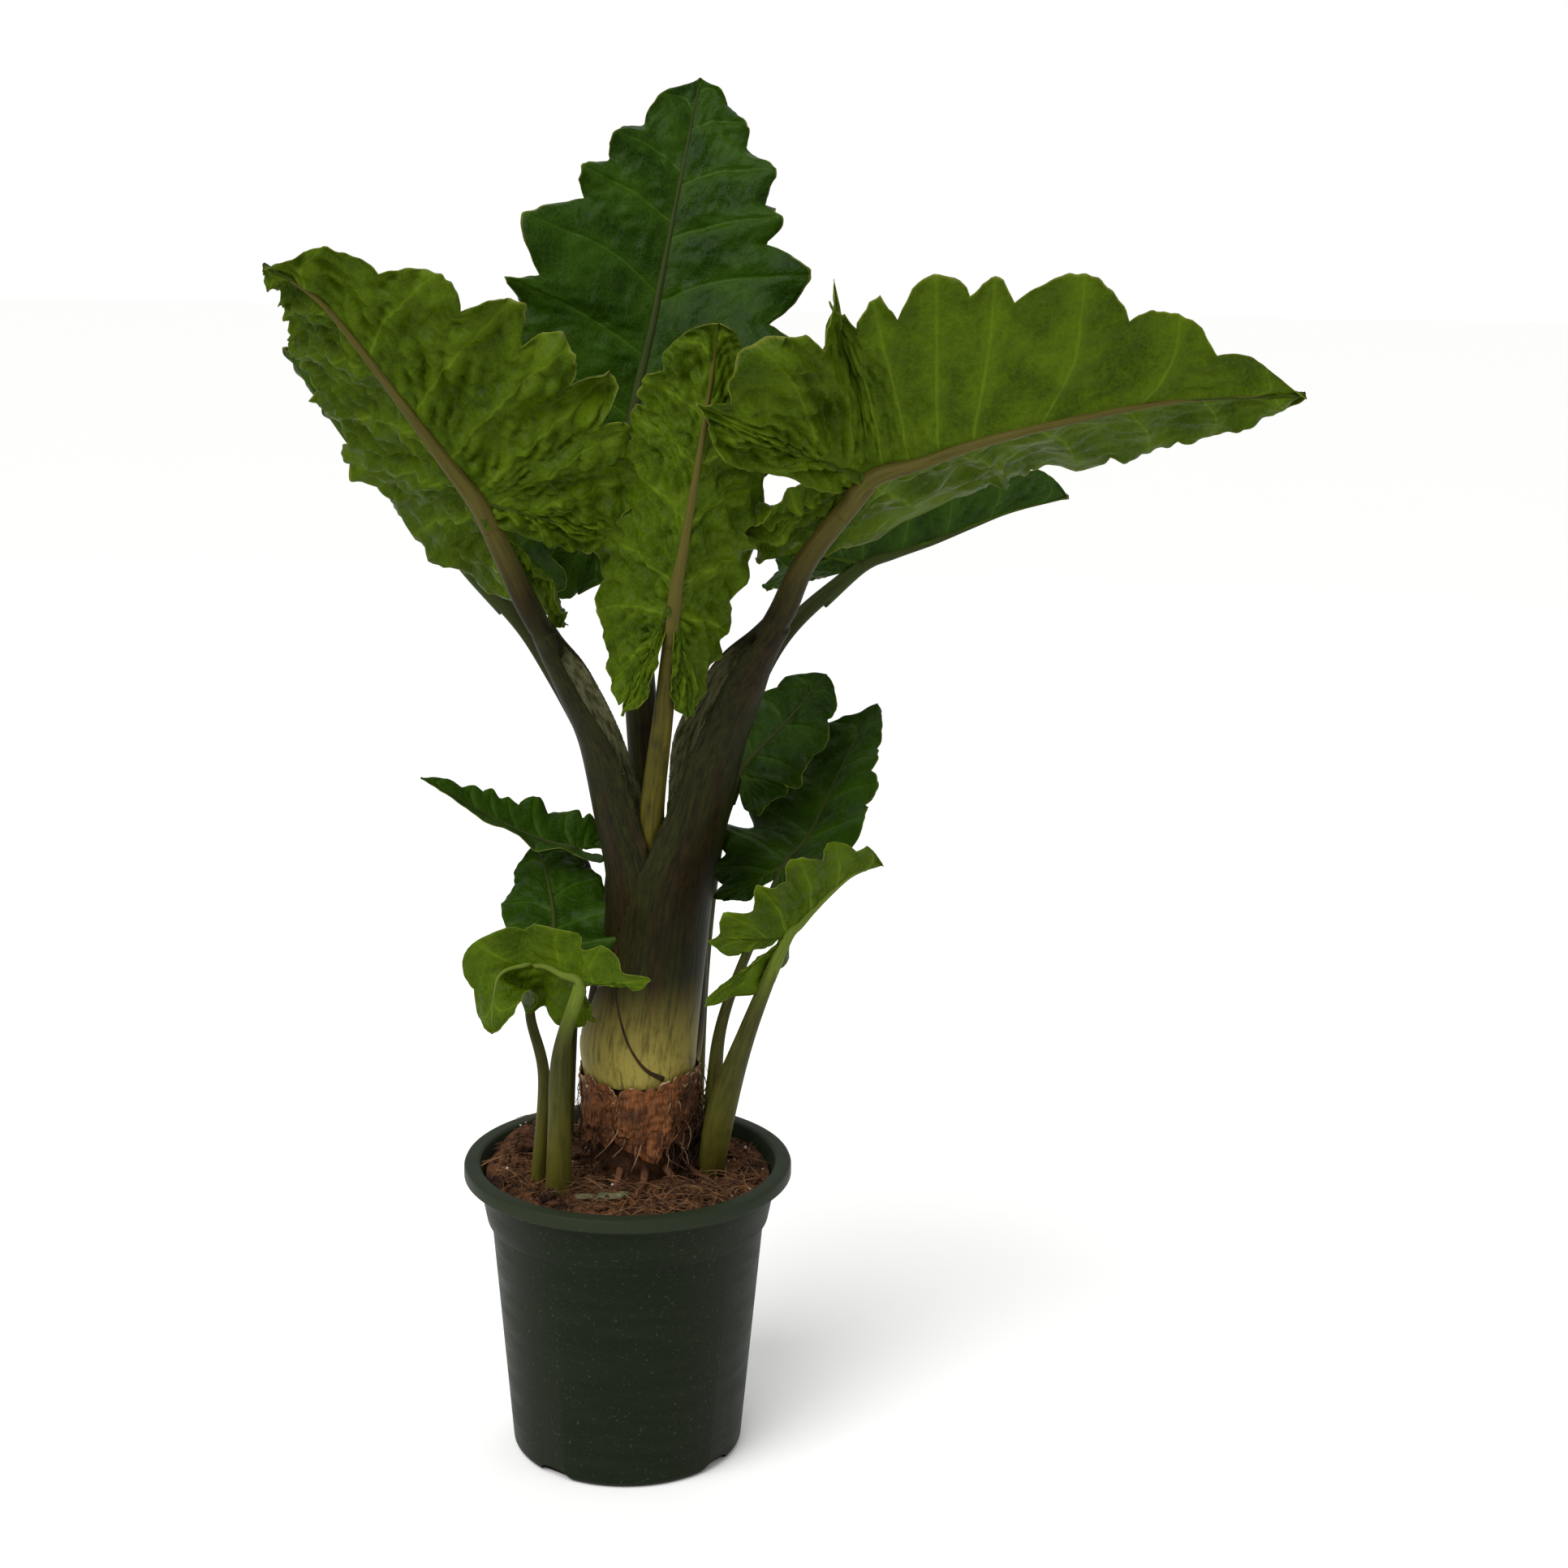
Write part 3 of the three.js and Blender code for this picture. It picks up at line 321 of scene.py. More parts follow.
class StalkSettings(bpy.types.PropertyGroup):
    dark: colour("Dark streaks", "Dark brown streaks on a stalk", "#0e0c02")
    olive: colour("Olive ground", "Olive ground between the streaks", "#272a0a")
    pale: colour("Pale foot", "Yellowish foot of the stalks on the corm", "#8b7f3c")
    brown: colour("Brown", "Purple-brown bands on a stalk", "#2c1b0a")
    core: colour("Core", "Yellow-green of the youngest stalk, in the middle", "#524a10")
    inside: colour("Inside of the sheath", "Paler inner face of a sheathing stalk", "#8b8b68")
    shoot: colour("Shoot foot", "Yellow-green foot of the side shoots", "#4f4b19")
    shoot_dark: colour("Shoot streaks", "Darker streaks on the side shoots", "#2b2b0e")
    shoot_ground: colour("Shoot green", "Olive green of the side shoots", "#40411a")
    shoot_rib: colour("Shoot rib", "Light green midrib of a young shoot leaf", "#5a6a20")
    ripe: colour("Young rib", "Tan upper end and midrib of a young leaf's stalk", "#4f481b")
    old_rib: colour("Old rib", "Green-brown upper end and midrib of an older leaf's stalk", "#2f3a12")
    voxel: amount("Joining grid", "Grid that a sheath and its neck are joined on", 0.0016, "LENGTH")


class CormSettings(bpy.types.PropertyGroup):
    tuft: count("Tuft", "Dark fibres round the corm", 330)
    young_roots: count("Young roots", "Thin young roots in front of the corm", 17)
    bark: colour("Bark", "Dark bark of the corm", "#2b1a0d")
    scale: colour("Dry scale", "Rust-brown papery scales round the corm", "#8a5226")
    scale_edge: colour("Torn edge", "Pale torn edge of a scale", "#a98c66")
    root: colour("Root", "Pinkish brown roots", "#6a4530")


class MixSettings(bpy.types.PropertyGroup):
    crumbs: count("Crumbs", "Crumbs of coir on the mix", 1100)
    fibres: count("Fibres", "Loose coir fibres on the mix", 620)
    chunks: count("Chunks", "Bigger bits of bark and husk", 180)
    flecks: count("Flecks", "White flecks of perlite", 70)
    coir: colour("Coir", "Red-brown coir", "#6b462a")
    coir_dark: colour("Wet coir", "Dark wet parts of the mix", "#1c0e07")
    fibre: colour("Fibre", "Lighter loose fibres", "#8f6844")
    fleck: colour("Perlite", "White flecks", "#cfc9bd")


class PotSettings(bpy.types.PropertyGroup):
    sides: count("Sides", "Facets round the pot", 144, 24)
    plastic: colour("Plastic", "Dark grey-green of the pot", "#12190b")
    # Painted light: the rim, painted paler as if lit from above.
    rim_painted_light: colour("Rim", "Paler rim of the pot", "#272e20")
    # Paler streaks on the wall: scuffs, and a painted horizontal sheen.
    plastic_scuff_and_sheen: colour("Scuffed plastic", "Paler scuffed parts of the wall", "#191f11")


class StageSettings(bpy.types.PropertyGroup):
    floor: colour("Floor", "Plain pale floor", "#fcfcfa")
    key: amount("Key light", "Big soft lamp at the upper left", 20, "POWER")
    fill: amount("Fill light", "Soft lamp at the right", 8, "POWER")
    skylight: amount("Skylight", "Broad light from above the viewer's left", 2.3)
    sky: amount("Room light", "Even light from all round", 0.5)


# ---- Curves and dents ---------------------------------------------------------------------------


def spline(points):
    """A smooth curve through points, as a function from shares of its spans, 0 to 1, to places."""
    p = np.asarray(points, float)
    guides = np.vstack([2 * p[0] - p[1], p, 2 * p[-1] - p[-2]])

    def at(share):
        t = np.clip(np.asarray(share, float), 0, 1) * (len(p) - 1)
        i = np.minimum(t.astype(int), len(p) - 2)
        w = (t - i)[..., None]
        a, b, c, d = (guides[i + k] for k in range(4))
        return b + 0.5 * w * (c - a + w * (2 * a - 5 * b + 4 * c - d + w * (3 * (b - c) + d - a)))

    return at


def mix(a, b, share):
    return a + (b - a) * share


def smooth(t):
    t = np.clip(t, 0, 1)
    return t * t * (3 - 2 * t)


def unit(v):
    return v / np.maximum(np.linalg.norm(v, axis=-1, keepdims=True), 1e-12)


def dents(x, y, size, seed):
    """Soft random dents of about this size on a flat pair of coordinates, from -1 to 1."""
    rng = np.random.default_rng(seed)
    total = 0
    for _ in range(8):  # waves of eight directions, which seldom add up to more than 3.2
        turn, phase, stretch = rng.uniform(0, WAVE), rng.uniform(0, WAVE), rng.uniform(0.7, 1.6)
        total = total + np.sin((x * np.cos(turn) + y * np.sin(turn)) * WAVE / (size * stretch) + phase)
    return total / 3.2


# ---- Modelling ----------------------------------------------------------------------------------


def pick(*objects):
    """Selects just these objects, the first one active."""
    bpy.ops.object.select_all(action="DESELECT")
    for one in objects:
        one.select_set(True)
    bpy.context.view_layer.objects.active = objects[0]


def edit(piece, *steps):
    """Runs edit-mode operators, each with its settings, on all of a piece."""
    pick(piece)
    bpy.ops.object.mode_set(mode="EDIT")
    bpy.ops.mesh.select_all(action="SELECT")
    for operator, settings in steps:
        operator(**settings)
    bpy.ops.object.mode_set(mode="OBJECT")


def modify(piece, kind, **settings):
    """Puts a modifier on a piece and applies it."""
    pick(piece)
    modifier = piece.modifiers.new(kind.title(), kind)
    for key, value in settings.items():
        setattr(modifier, key, value)
    bpy.ops.object.modifier_apply(modifier=modifier.name)


def join(name, parts):
    """Joins objects into one piece at the origin."""
    bpy.context.view_layer.update()
    pick(*parts)
    if len(parts) > 1:
        bpy.ops.object.join()
    piece = bpy.context.object
    bpy.ops.object.transform_apply(location=True, rotation=True, scale=True)
    piece.name = piece.data.name = name
    return piece


def numbers(items, key, kind=float):
    """Rows of three numbers that each vertex, or each row of an attribute, keeps."""
    rows = np.empty(len(items) * 3, kind)
    items.foreach_get(key, rows)
    return rows.reshape(-1, 3)


def added(operator, **settings):
    """The object that an operator adds, alone selected."""
    bpy.ops.object.select_all(action="DESELECT")
    operator(**settings)
    return bpy.context.object


def note(mesh, name, values):
    """Keeps three numbers with each vertex for the materials to read."""
    layer = mesh.attributes.new(name, "FLOAT_VECTOR", "POINT")
    layer.data.foreach_set("vector", np.ascontiguousarray(values, np.float32).ravel())


def sheet(name, across, along, place):
    """A grid of across by along cells, shaped by place: it takes u across and v along, both 0 to 1, and
    gives the places in metres and the notes for the materials."""
    piece = added(bpy.ops.mesh.primitive_grid_add, x_subdivisions=across, y_subdivisions=along, size=1)
    piece.name = piece.data.name = name
    flat = numbers(piece.data.vertices, "co") + 0.5
    places, notes = place(flat[:, 0], flat[:, 1])
    piece.data.vertices.foreach_set("co", places.ravel())
    for key, values in notes.items():
        note(piece.data, key, values)
    piece.data.update()
    return piece


def skin(name, around, along, place):
    """A grid rolled into a closed skin: its seam and poles merged and its open ends filled."""
    piece = sheet(name, around, along, place)
    edit(
        piece,
        (bpy.ops.mesh.remove_doubles, {"threshold": 2e-5}),
        (bpy.ops.mesh.fill_holes, {"sides": 0}),
        (bpy.ops.mesh.normals_make_consistent, {"inside": False}),
    )
    return piece


def finish(piece, slot, materials, *nodes):
    """Gives a finished piece its materials, its body and the CAD nodes it stands for. The slot is not used.
    """
    piece.data.materials.clear()
    for one in materials:
        piece.data.materials.append(one)
    pick(piece)
    bpy.ops.object.shade_smooth()
    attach(piece, "root")
    if nodes:
        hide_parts(*nodes)
    return piece


# ---- Materials ----------------------------------------------------------------------------------


class Nodes:
    """The nodes of one material or world. Put adds a node with its inputs linked or set, and gives one
    of its outputs; the others add the kinds of node that come up most."""

    def __init__(self, tree):
        self.tree = tree
        tree.nodes.clear()

    def put(self, kind, inputs=(), output=0, **settings):
        node = self.tree.nodes.new(f"ShaderNode{kind}")
        for key, value in settings.items():
            setattr(node, key, value)
        for key, value in dict(inputs).items():
            if isinstance(value, bpy.types.NodeSocket):
                self.tree.links.new(value, node.inputs[key])
            else:
                node.inputs[key].default_value = value
        return node.outputs[output] if len(node.outputs) else node

    def attribute(self, name):
        return self.put("Attribute", output=1, attribute_name=name)

    def place(self):
        """Places on the object itself, in metres."""
        return self.put("TexCoord", output=3)

    def part(self, vector, axis):
        return self.put("SeparateXYZ", {0: vector}, axis)

    def scaled(self, vector, scale):
        return self.put("Mapping", {"Vector": vector, "Scale": scale})

    def noise(self, vector, scale, detail=2, output=0, **inputs):
        return self.put("TexNoise", {"Vector": vector, "Scale": scale, "Detail": detail, **inputs}, output)

    def maths(self, operation, *values, **settings):
        return self.put("Math", dict(enumerate(values)), operation=operation, **settings)

    def ramp(self, value, low, high, first=0, last=1, **settings):
        """Takes low to first and high to last, and stays there beyond them."""
        return self.put("MapRange", {0: value, 1: low, 2: high, 3: first, 4: last}, **settings)

    def fade(self, value, low, high):
        """Falls softly from 1 at low to 0 at high."""
        return self.ramp(value, low, high, 1, 0, interpolation_type="SMOOTHSTEP")

    def blend(self, share, first, second):
        """A colour between two others."""
        return self.put("Mix", {0: share, 6: first, 7: second}, 2, data_type="RGBA")

    def bump(self, strength, distance, height, inputs=(), **settings):
        depths = {"Strength": strength, "Distance": distance, "Height": height}
        return self.put("Bump", {**depths, **dict(inputs)}, **settings)

    def surface(self, base, roughness, bump, ior, specular):
        looks = {"Base Color": base, "Roughness": roughness, "Normal": bump}
        return self.put("BsdfPrincipled", {**looks, "IOR": ior, "Specular IOR Level": specular})


def material(draw):
    """Turns a function that draws a surface into one that takes a name first and gives the material of
    that name, drawn the first time it is asked for."""

    @functools.wraps(draw)
    def make(name, *looks, **settings):
        made = bpy.data.materials.get(name)
        if made is None:
            made = bpy.data.materials.new(name)
            made.use_nodes = True
            nodes = Nodes(made.node_tree)
            nodes.put("OutputMaterial", {0: draw(nodes, *looks, **settings)})
        return made

    return make


@material
def leaf_material(nodes, dark, light, rib, vein_share, roughness, glow, spots):
    """Waxy leaf blade. Green patches with paler side veins and a brown rib, dents between a fine net of
    veins that break up the gloss, and some light that comes through from behind."""
    vein, lay, flat = (nodes.attribute(name) for name in ("vein", "lay", "flat"))
    count, gap, off_rib = (nodes.part(vein, axis) for axis in range(3))
    share = nodes.part(lay, 0)
    # How far the nearest side vein is, in metres.
    phase = nodes.maths("SUBTRACT", count, nodes.maths("ROUND", count))
    away = nodes.maths("MULTIPLY", nodes.maths("ABSOLUTE", phase), gap)
    wobble = nodes.ramp(nodes.noise(flat, 90), 0, 1, -0.0006, 0.0006)
    away = nodes.maths("ADD", away, wobble)
    vein_mask = nodes.fade(away, 0.0004, 0.0014)
    halo = nodes.fade(away, 0.001, 0.012)
    rib_mask = nodes.fade(off_rib, 0.75, 1.15)
    # The net of small veins has meshes about 4 mm wide.
    bent = nodes.noise(flat, 60, output=1)
    bent = nodes.put("VectorMath", {0: bent, 1: (0.004, 0.004, 0)}, operation="MULTIPLY")
    bent = nodes.put("VectorMath", {0: bent, 1: flat}, operation="ADD")
    net = nodes.put("TexVoronoi", {"Vector": bent, "Scale": 240}, feature="DISTANCE_TO_EDGE")
    net_mask = nodes.ramp(net, 0.02, 0.12, 1, 0)
    # Patches a few centimetres wide, and mottling of a few millimetres.
    patch = nodes.ramp(nodes.noise(flat, 22, 3, Roughness=0.6), 0.35, 0.68, 0, 0.8)
    mottle = nodes.ramp(nodes.noise(flat, 260, 4), 0.3, 0.7, -0.14, 0.14)
    shade = nodes.maths("ADD", patch, mottle, use_clamp=True)
    green = nodes.blend(shade, dark, light)
    green = nodes.blend(nodes.maths("MULTIPLY", halo, 0.35), green, light)
    pale = (*[min(c * 1.5 + 0.005, 1) for c in light[:3]], 1)
    green = nodes.blend(nodes.maths("MULTIPLY", net_mask, 0.16), green, pale)
    vein_fade = nodes.ramp(share, 0.55, 1, vein_share, vein_share * 0.35)
    green = nodes.blend(nodes.maths("MULTIPLY", vein_mask, vein_fade), green, pale)
    # The margin has a thin yellowish hem, and a few brown spots lie on the blade.
    green = nodes.blend(nodes.ramp(share, 0.985, 1, 0, 0.5), green, linear("#8a8a3c"))
    spot = nodes.ramp(nodes.noise(flat, 34, 5, Roughness=0.7), 0.69, 0.73, 0, spots)
    green = nodes.blend(spot, green, linear("#4a3310"))
    base = nodes.blend(rib_mask, green, rib)
    gloss = nodes.ramp(shade, 0, 1, roughness - 0.05, roughness + 0.08)
    grain = nodes.maths("SUBTRACT", mottle, nodes.maths("MULTIPLY", net_mask, 0.35))
    fine = nodes.bump(0.5, 0.0006, grain)
    crinkle = nodes.noise(flat, 80, 3, Distortion=0.6)
    fine = nodes.bump(min(2.4 * glow, 1), 0.003, crinkle, {"Normal": fine})
    # Veins stand out underneath, where their share is over a half, and lie sunk on top.
    bump = nodes.bump(0.7, 0.0008, nodes.fade(away, 0, 0.004), {"Normal": fine}, invert=vein_share <= 0.5)
    through = nodes.blend(0.55, base, linear("#8fa010"))
    through = nodes.blend(rib_mask, through, rib)
    lit = nodes.put("BsdfTranslucent", {"Color": through, "Normal": bump})
    return nodes.put("MixShader", {0: glow, 1: nodes.surface(base, gloss, bump, *WAXY), 2: lit})


@material
def stalk_material(nodes, dark, olive, brown, inside, pale, ripe, foot, top):
    """Fleshy, satin leaf stalk. Dark upright streaks a few millimetres wide on an olive ground, paler at
    the foot, tan or green where it runs on as the midrib, and a pale striped inner face in a sheath."""
    rind, hollow = nodes.attribute("rind"), nodes.attribute("hollow")
    height = nodes.part(nodes.place(), 2)
    inner, upper = nodes.part(hollow, 0), nodes.part(hollow, 1)
    # Streaks 2 to 3 mm wide and about 40 mm long, and blotches of 8 mm.
    streak = nodes.noise(nodes.scaled(rind, (420, 420, 26)), 1, 5, Roughness=0.65)
    blotch = nodes.noise(nodes.scaled(rind, (130, 130, 60)), 1, 4, Roughness=0.6)
    streaks = nodes.ramp(streak, 0.38, 0.62)
    both = nodes.put("Mix", {0: 0.45, 2: streaks, 3: nodes.ramp(blotch, 0.35, 0.65)})
    # Bands 2 cm wide where the green turns to purple-brown.
    band = nodes.noise(nodes.scaled(rind, (60, 60, 7)), 1)
    tinted = nodes.blend(nodes.ramp(band, 0.42, 0.62, 0, 0.75), olive, brown)
    ground = nodes.blend(both, dark, tinted)
    worn = nodes.ramp(both, 0.1, 0.6, 0.45, 1)
    base = nodes.blend(nodes.maths("MULTIPLY", nodes.fade(height, foot, top), worn), ground, pale)
    upper_mask = nodes.maths("MULTIPLY", nodes.ramp(streak, 0.3, 0.6, 0.55, 0.95), upper)
    base = nodes.blend(upper_mask, base, ripe)
    lining = nodes.blend(streaks, linear("#4b4a2a"), inside)
    base = nodes.blend(inner, base, lining)
    gloss = nodes.ramp(blotch, 0, 1, 0.42, 0.62)
    return nodes.surface(base, gloss, nodes.bump(0.5, 0.0007, streak), *FLESHY)


@material
def rough_material(nodes, dark, light, grain, stretch=(1, 1, 1), roughness=0.85, depth=0.0012):
    """Dull plant matter: coir, bark, dry leaf and roots. Two colours in grains of a real size, given in
    metres, with fibres drawn out by stretch, no gloss and a rough relief."""
    place = nodes.scaled(nodes.place(), tuple(s / grain for s in stretch))
    noise = nodes.noise(place, 1, 6, Roughness=0.7, Distortion=0.4)
    share = nodes.maths("ADD", noise, nodes.noise(place, 0.22, 3))
    base = nodes.blend(nodes.ramp(share, 0.78, 1.25), dark, light)
    gloss = nodes.ramp(noise, 0, 1, roughness - 0.15, min(roughness + 0.1, 1))
    return nodes.surface(base, gloss, nodes.bump(0.8, depth, noise), *DULL)


@material
def plastic_material(nodes, look):
    """Injection-moulded polypropylene, dark grey-green and satin. Faint scuffs with a painted horizontal
    sheen, and dust, on the wall; a rim with painted light; and a fine moulded grain, drawn at 0.8 mm so
    that it shows."""
    place = nodes.place()
    # Paler horizontal streaks: scuffs, and a painted sheen. They also vary the gloss.
    scuff_and_sheen = nodes.noise(nodes.scaled(place, (14, 14, 90)), 1, 6, Roughness=0.65)
    base = nodes.blend(nodes.ramp(scuff_and_sheen, 0.42, 0.72), look.plastic, look.plastic_scuff_and_sheen)
    dust = nodes.ramp(nodes.noise(place, 420, 3), 0.63, 0.75, 0, 0.35)
    base = nodes.blend(dust, base, linear("#565a4c"))
    # Painted light: the rim and lip are painted paler, because the top of the pot lies in the light.
    rim = 0.001 * POT["height"]
    rim = nodes.ramp(nodes.part(place, 2), rim - 0.019, rim - 0.013, 0, 0.8)
    base = nodes.blend(rim, base, look.rim_painted_light)
    gloss = nodes.ramp(scuff_and_sheen, 0.3, 0.7, 0.4, 0.56)
    return nodes.surface(base, gloss, nodes.bump(0.25, 0.0003, nodes.noise(place, 1250)), *MOULDED)


@material
def scale_material(nodes, look):
    """Dry papery leaf scale. Rust brown with upright fibres 1 mm apart, and a pale torn edge at the top."""
    high = nodes.part(nodes.attribute("torn"), 0)
    place = nodes.place()
    strand = nodes.noise(nodes.scaled(place, (700, 700, 45)), 1, 5, Roughness=0.7)
    patch = nodes.noise(place, 48, 6, Roughness=0.65)
    base = nodes.blend(nodes.ramp(strand, 0.35, 0.65), linear("#3a200f"), look.scale)
    base = nodes.blend(nodes.ramp(patch, 0.42, 0.66, 0, 0.8), base, linear("#1e1108"))
    edge = nodes.ramp(nodes.maths("ADD", high, patch), 1.46, 1.54, 0, 0.9)
    base = nodes.blend(edge, base, look.scale_edge)
    gloss = nodes.ramp(patch, 0, 1, 0.6, 0.85)
    return nodes.surface(base, gloss, nodes.bump(0.7, 0.0008, strand), *PAPERY)


@material
def floor_material(nodes, floor):
    """Plain matt studio floor, near white, its roughness slightly uneven."""
    roughness = nodes.ramp(nodes.noise(nodes.place(), 3), 0, 1, 0.85, 0.95)
    return nodes.put("BsdfPrincipled", {"Base Color": floor, "Roughness": roughness})


# ---- Leaf blades --------------------------------------------------------------------------------


def run_of(places):
    """How far along a path each of its places lies."""
    return np.concatenate([[0], np.cumsum(np.linalg.norm(np.diff(places, axis=0), axis=1))])


def spine_lengths(leaf):
    """Steps along a blade's spine, how far along each lies, and how far the stalk's joint lies."""
    steps = np.linspace(0, 1, SPINE_STEPS + 1)
    lengths = run_of(spline(leaf["spine"])(steps))
    return steps, lengths, lengths[SPINE_STEPS // (len(leaf["spine"]) - 1)]


def half_shape(leaf, half, reach, row):
    """Where a vein of one half of the flat blade leaves its rib and meets the margin, in millimetres.
    Rows run from 0 at the tip, through 1 at the shoulder and 2 at the lobe's end, to 3 in the cleft."""
    width, lobe = leaf["width"][half], np.array(leaf["lobe"][half], float)
    shoulder = 0.03 * reach
    outside = spline([
        (width, shoulder),
        (mix(width, lobe[0], 0.2), mix(shoulder, lobe[1], 0.5)),
        (lobe[0] + 0.08 * width, mix(shoulder, lobe[1], 0.92)),
        lobe,
    ])
    inside = spline([lobe, lobe * (0.42, 0.85), (3, lobe[1] * 0.3), (0, 0)])
    part = np.minimum(row.astype(int), 2)
    t = row - part
    bulge = np.sin(np.pi / 2 * np.minimum(row, 1) ** leaf["taper"][half])
    front = np.stack([width * bulge, mix(reach, shoulder, t)], -1)
    which = part[:, None]
    margin = np.where(which == 0, front, np.where(which == 1, outside(t), inside(t)))
    midrib_foot = np.stack([0 * t, reach * (1 - t) ** 1.3], -1)
    lobe_foot = 0.68 * lobe * np.where(part == 1, t, 1 - t)[:, None]
    rib = np.where(which == 0, midrib_foot, lobe_foot)
    return rib, margin


def scallops(row, notches, blunt):
    """How far the margin stands out between its notches, and the count of side veins up to each row:
    a whole number on a vein, a half in a notch."""
    marks = np.array([0, *notches, 2])
    i = np.clip(np.searchsorted(marks, row, side="right") - 1, 0, len(marks) - 2)
    span = marks[i + 1] - marks[i]
    t = (row - marks[i]) / span
    size = np.minimum(span / 0.2, 1)
    out = size * (1 - np.abs(2 * t - 1) ** blunt) - 0.4 * smooth(row / 0.1) * smooth((2 - row) / 0.1)
    count = np.interp(row, [*marks, 2.33, 2.66, 3], np.arange(len(marks) + 3) + 0.5)
    return np.where(row > 2, 0, out), count


def bend(leaf, half, x, y):
    """Takes points of the flat half blade, x to the side and y along the rib, to their places, and
    gives the way out of the blade's upper side there. Millimetres."""
    at = spline(leaf["spine"])
    steps, lengths, joint = spine_lengths(leaf)
    total = lengths[-1]
    reach = total - joint
    t = np.interp(np.clip((joint + y) / total, 0, 1) * total, lengths, steps)
    tangent = unit(at(t + 1e-4) - at(t - 1e-4))
    centre = at(t) + tangent * np.minimum(joint + y, 0)[:, None]
    along = y / reach
    face = mix(np.array(leaf["face"][0]), np.array(leaf["face"][1]), np.maximum(along, 0)[:, None])
    normal = unit(face - (face * tangent).sum(-1, keepdims=True) * tangent)
    across = np.cross(tangent, normal) * (2 * half - 1)
    heel, middle, tip = leaf["fold"][half]
    behind = mix(heel, middle, smooth((along + 0.4) / 0.7))
    ahead = mix(middle, tip, smooth((along - 0.3) / 0.7))
    fold = np.radians(np.where(along < 0.3, behind, ahead))
    curl = np.radians(leaf["curl"][half] or 1e-3) / leaf["width"][half]
    angle = fold + curl * x
    out = (np.sin(angle) - np.sin(fold)) / curl
    up = (np.cos(fold) - np.cos(angle)) / curl
    wave = leaf["ripple"] * (x / leaf["width"][half]) ** 2 * np.sin(6 * along * np.pi + 2 * half)
    lean = (angle * smooth(x / 12))[:, None]
    places = centre + across * out[:, None] + normal * (up + wave)[:, None]
    return places, normal * np.cos(lean) - across * np.sin(lean)


def half_blade(name, leaf, half, cells, look, old):
    """One half of a blade as a thin sheet, quilted between its side veins."""
    tip_rows, lobe_rows, across = cells
    along = tip_rows + 2 * lobe_rows
    _, lengths, joint = spine_lengths(leaf)
    reach = lengths[-1] - joint
    seed = sum(map(ord, name)) + half

    def place(u, v):
        row = np.interp(v, [0, tip_rows / along, (tip_rows + lobe_rows) / along, 1], [0, 1, 2, 3])
        share = u ** 1.35
        rib, margin = half_shape(leaf, half, reach, row)
        swell, count = scallops(row, leaf["notches"][half], leaf["blunt"])
        # Small uneven teeth ride on the big ones.
        fine = 0.02 * dents(count * 10, 0 * row, 4.2, seed)
        fine = fine + 0.011 * dents(count * 10, 0 * row, 1.7, seed + 3)
        fine = smooth(row / 0.1) * smooth((2 - row) / 0.1) * fine
        reaches = share * (1 + (leaf["depth"] * swell + fine) * share**3)
        flat = rib + (margin - rib) * reaches[:, None]
        count = count + 0.14 * np.sin(np.pi * share)  # side veins sweep towards the tip
        # The distance between two side veins, from a step of a hundredth of a row.
        rib2, margin2 = half_shape(leaf, half, reach, np.clip(row + 0.01, 0, 2.999))
        _, count2 = scallops(np.clip(row + 0.01, 0, 2.999), leaf["notches"][half], leaf["blunt"])
        count2 = count2 + 0.14 * np.sin(np.pi * share)
        step = np.linalg.norm(rib2 + (margin2 - rib2) * reaches[:, None] - flat, axis=1)
        gap = np.clip(step / np.maximum(np.abs(count2 - count), 1e-3), 4, 90)
        aside = np.abs(count - np.round(count))
        big = leaf["width"][half] / 110  # how big a blade this is
        most = min(big, 1)
        quilt = (np.sin(np.pi * aside) ** 0.75 - 0.45) * smooth(share / 0.22) * smooth((1.25 - share) / 0.5)
        depth = 1000 * look.quilting * (0.55 if old else 1) * most * np.clip(gap / 28, 0.3, 1.3)
        rise = depth * quilt
        # Sharp puckers lie along the side veins; softer dents lie anywhere.
        off = share * np.linalg.norm(margin - rib, axis=1)
        front, behind = CRUMPLE.get(name[:-2], (0.45, 0.45) if old else (1, 1))
        pucker = 1000 * look.dents * mix(front, behind, smooth(row - 0.5)) * most * smooth(share / 0.15)
        packed = pucker * np.clip(gap / 24, 0.25, 1.2)
        rise += packed * (0.35 - 1.1 * np.abs(dents(off * 0.5, count * 24, 12, seed)))
        rise += 0.4 * packed * dents(off * 0.8, count * 26, 6, seed + 9)
        soft = dents(flat[:, 0], flat[:, 1], 34 * max(big, 0.5), seed + 5)
        rise += 0.8 * pucker * soft * smooth(share / 0.3)
        # Near the margin each scallop cups down at its notches.
        rise += 2.6 * most * share**4 * np.cos(2 * np.pi * count) * leaf["depth"] / 0.14
        places, out = bend(leaf, half, flat[:, 0], flat[:, 1])
        places = places + out * rise[:, None]
        # The midrib thins towards the tip, and a lobe's rib towards the lobe's end.
        beyond = np.linalg.norm(rib, axis=1)
        lobe = np.linalg.norm(np.array(leaf["lobe"][half]))
        front_size = mix(0.16, 1, np.clip(1 - beyond / np.maximum(reach, 1), 0, 1))
        size = np.where(row < 1, front_size, 0.72 * (1 - 0.8 * beyond / lobe))
        ribs = 500 * look.rib * size * min(max(big, 0.35), 1)
        notes = {
            "vein": np.stack([count, gap / 1000, off / np.maximum(ribs, 0.3)], -1),
            "lay": np.stack([share, ribs / 1000, 0 * row + half], -1),
            "flat": np.stack([flat[:, 0] / 1000 * (2 * half - 1), flat[:, 1] / 1000, 0 * row + seed % 7], -1),
        }
        return places / 1000, notes

    piece = sheet(name, across, along, place)
    if half:
        edit(piece, (bpy.ops.mesh.flip_normals, {}))
    return piece


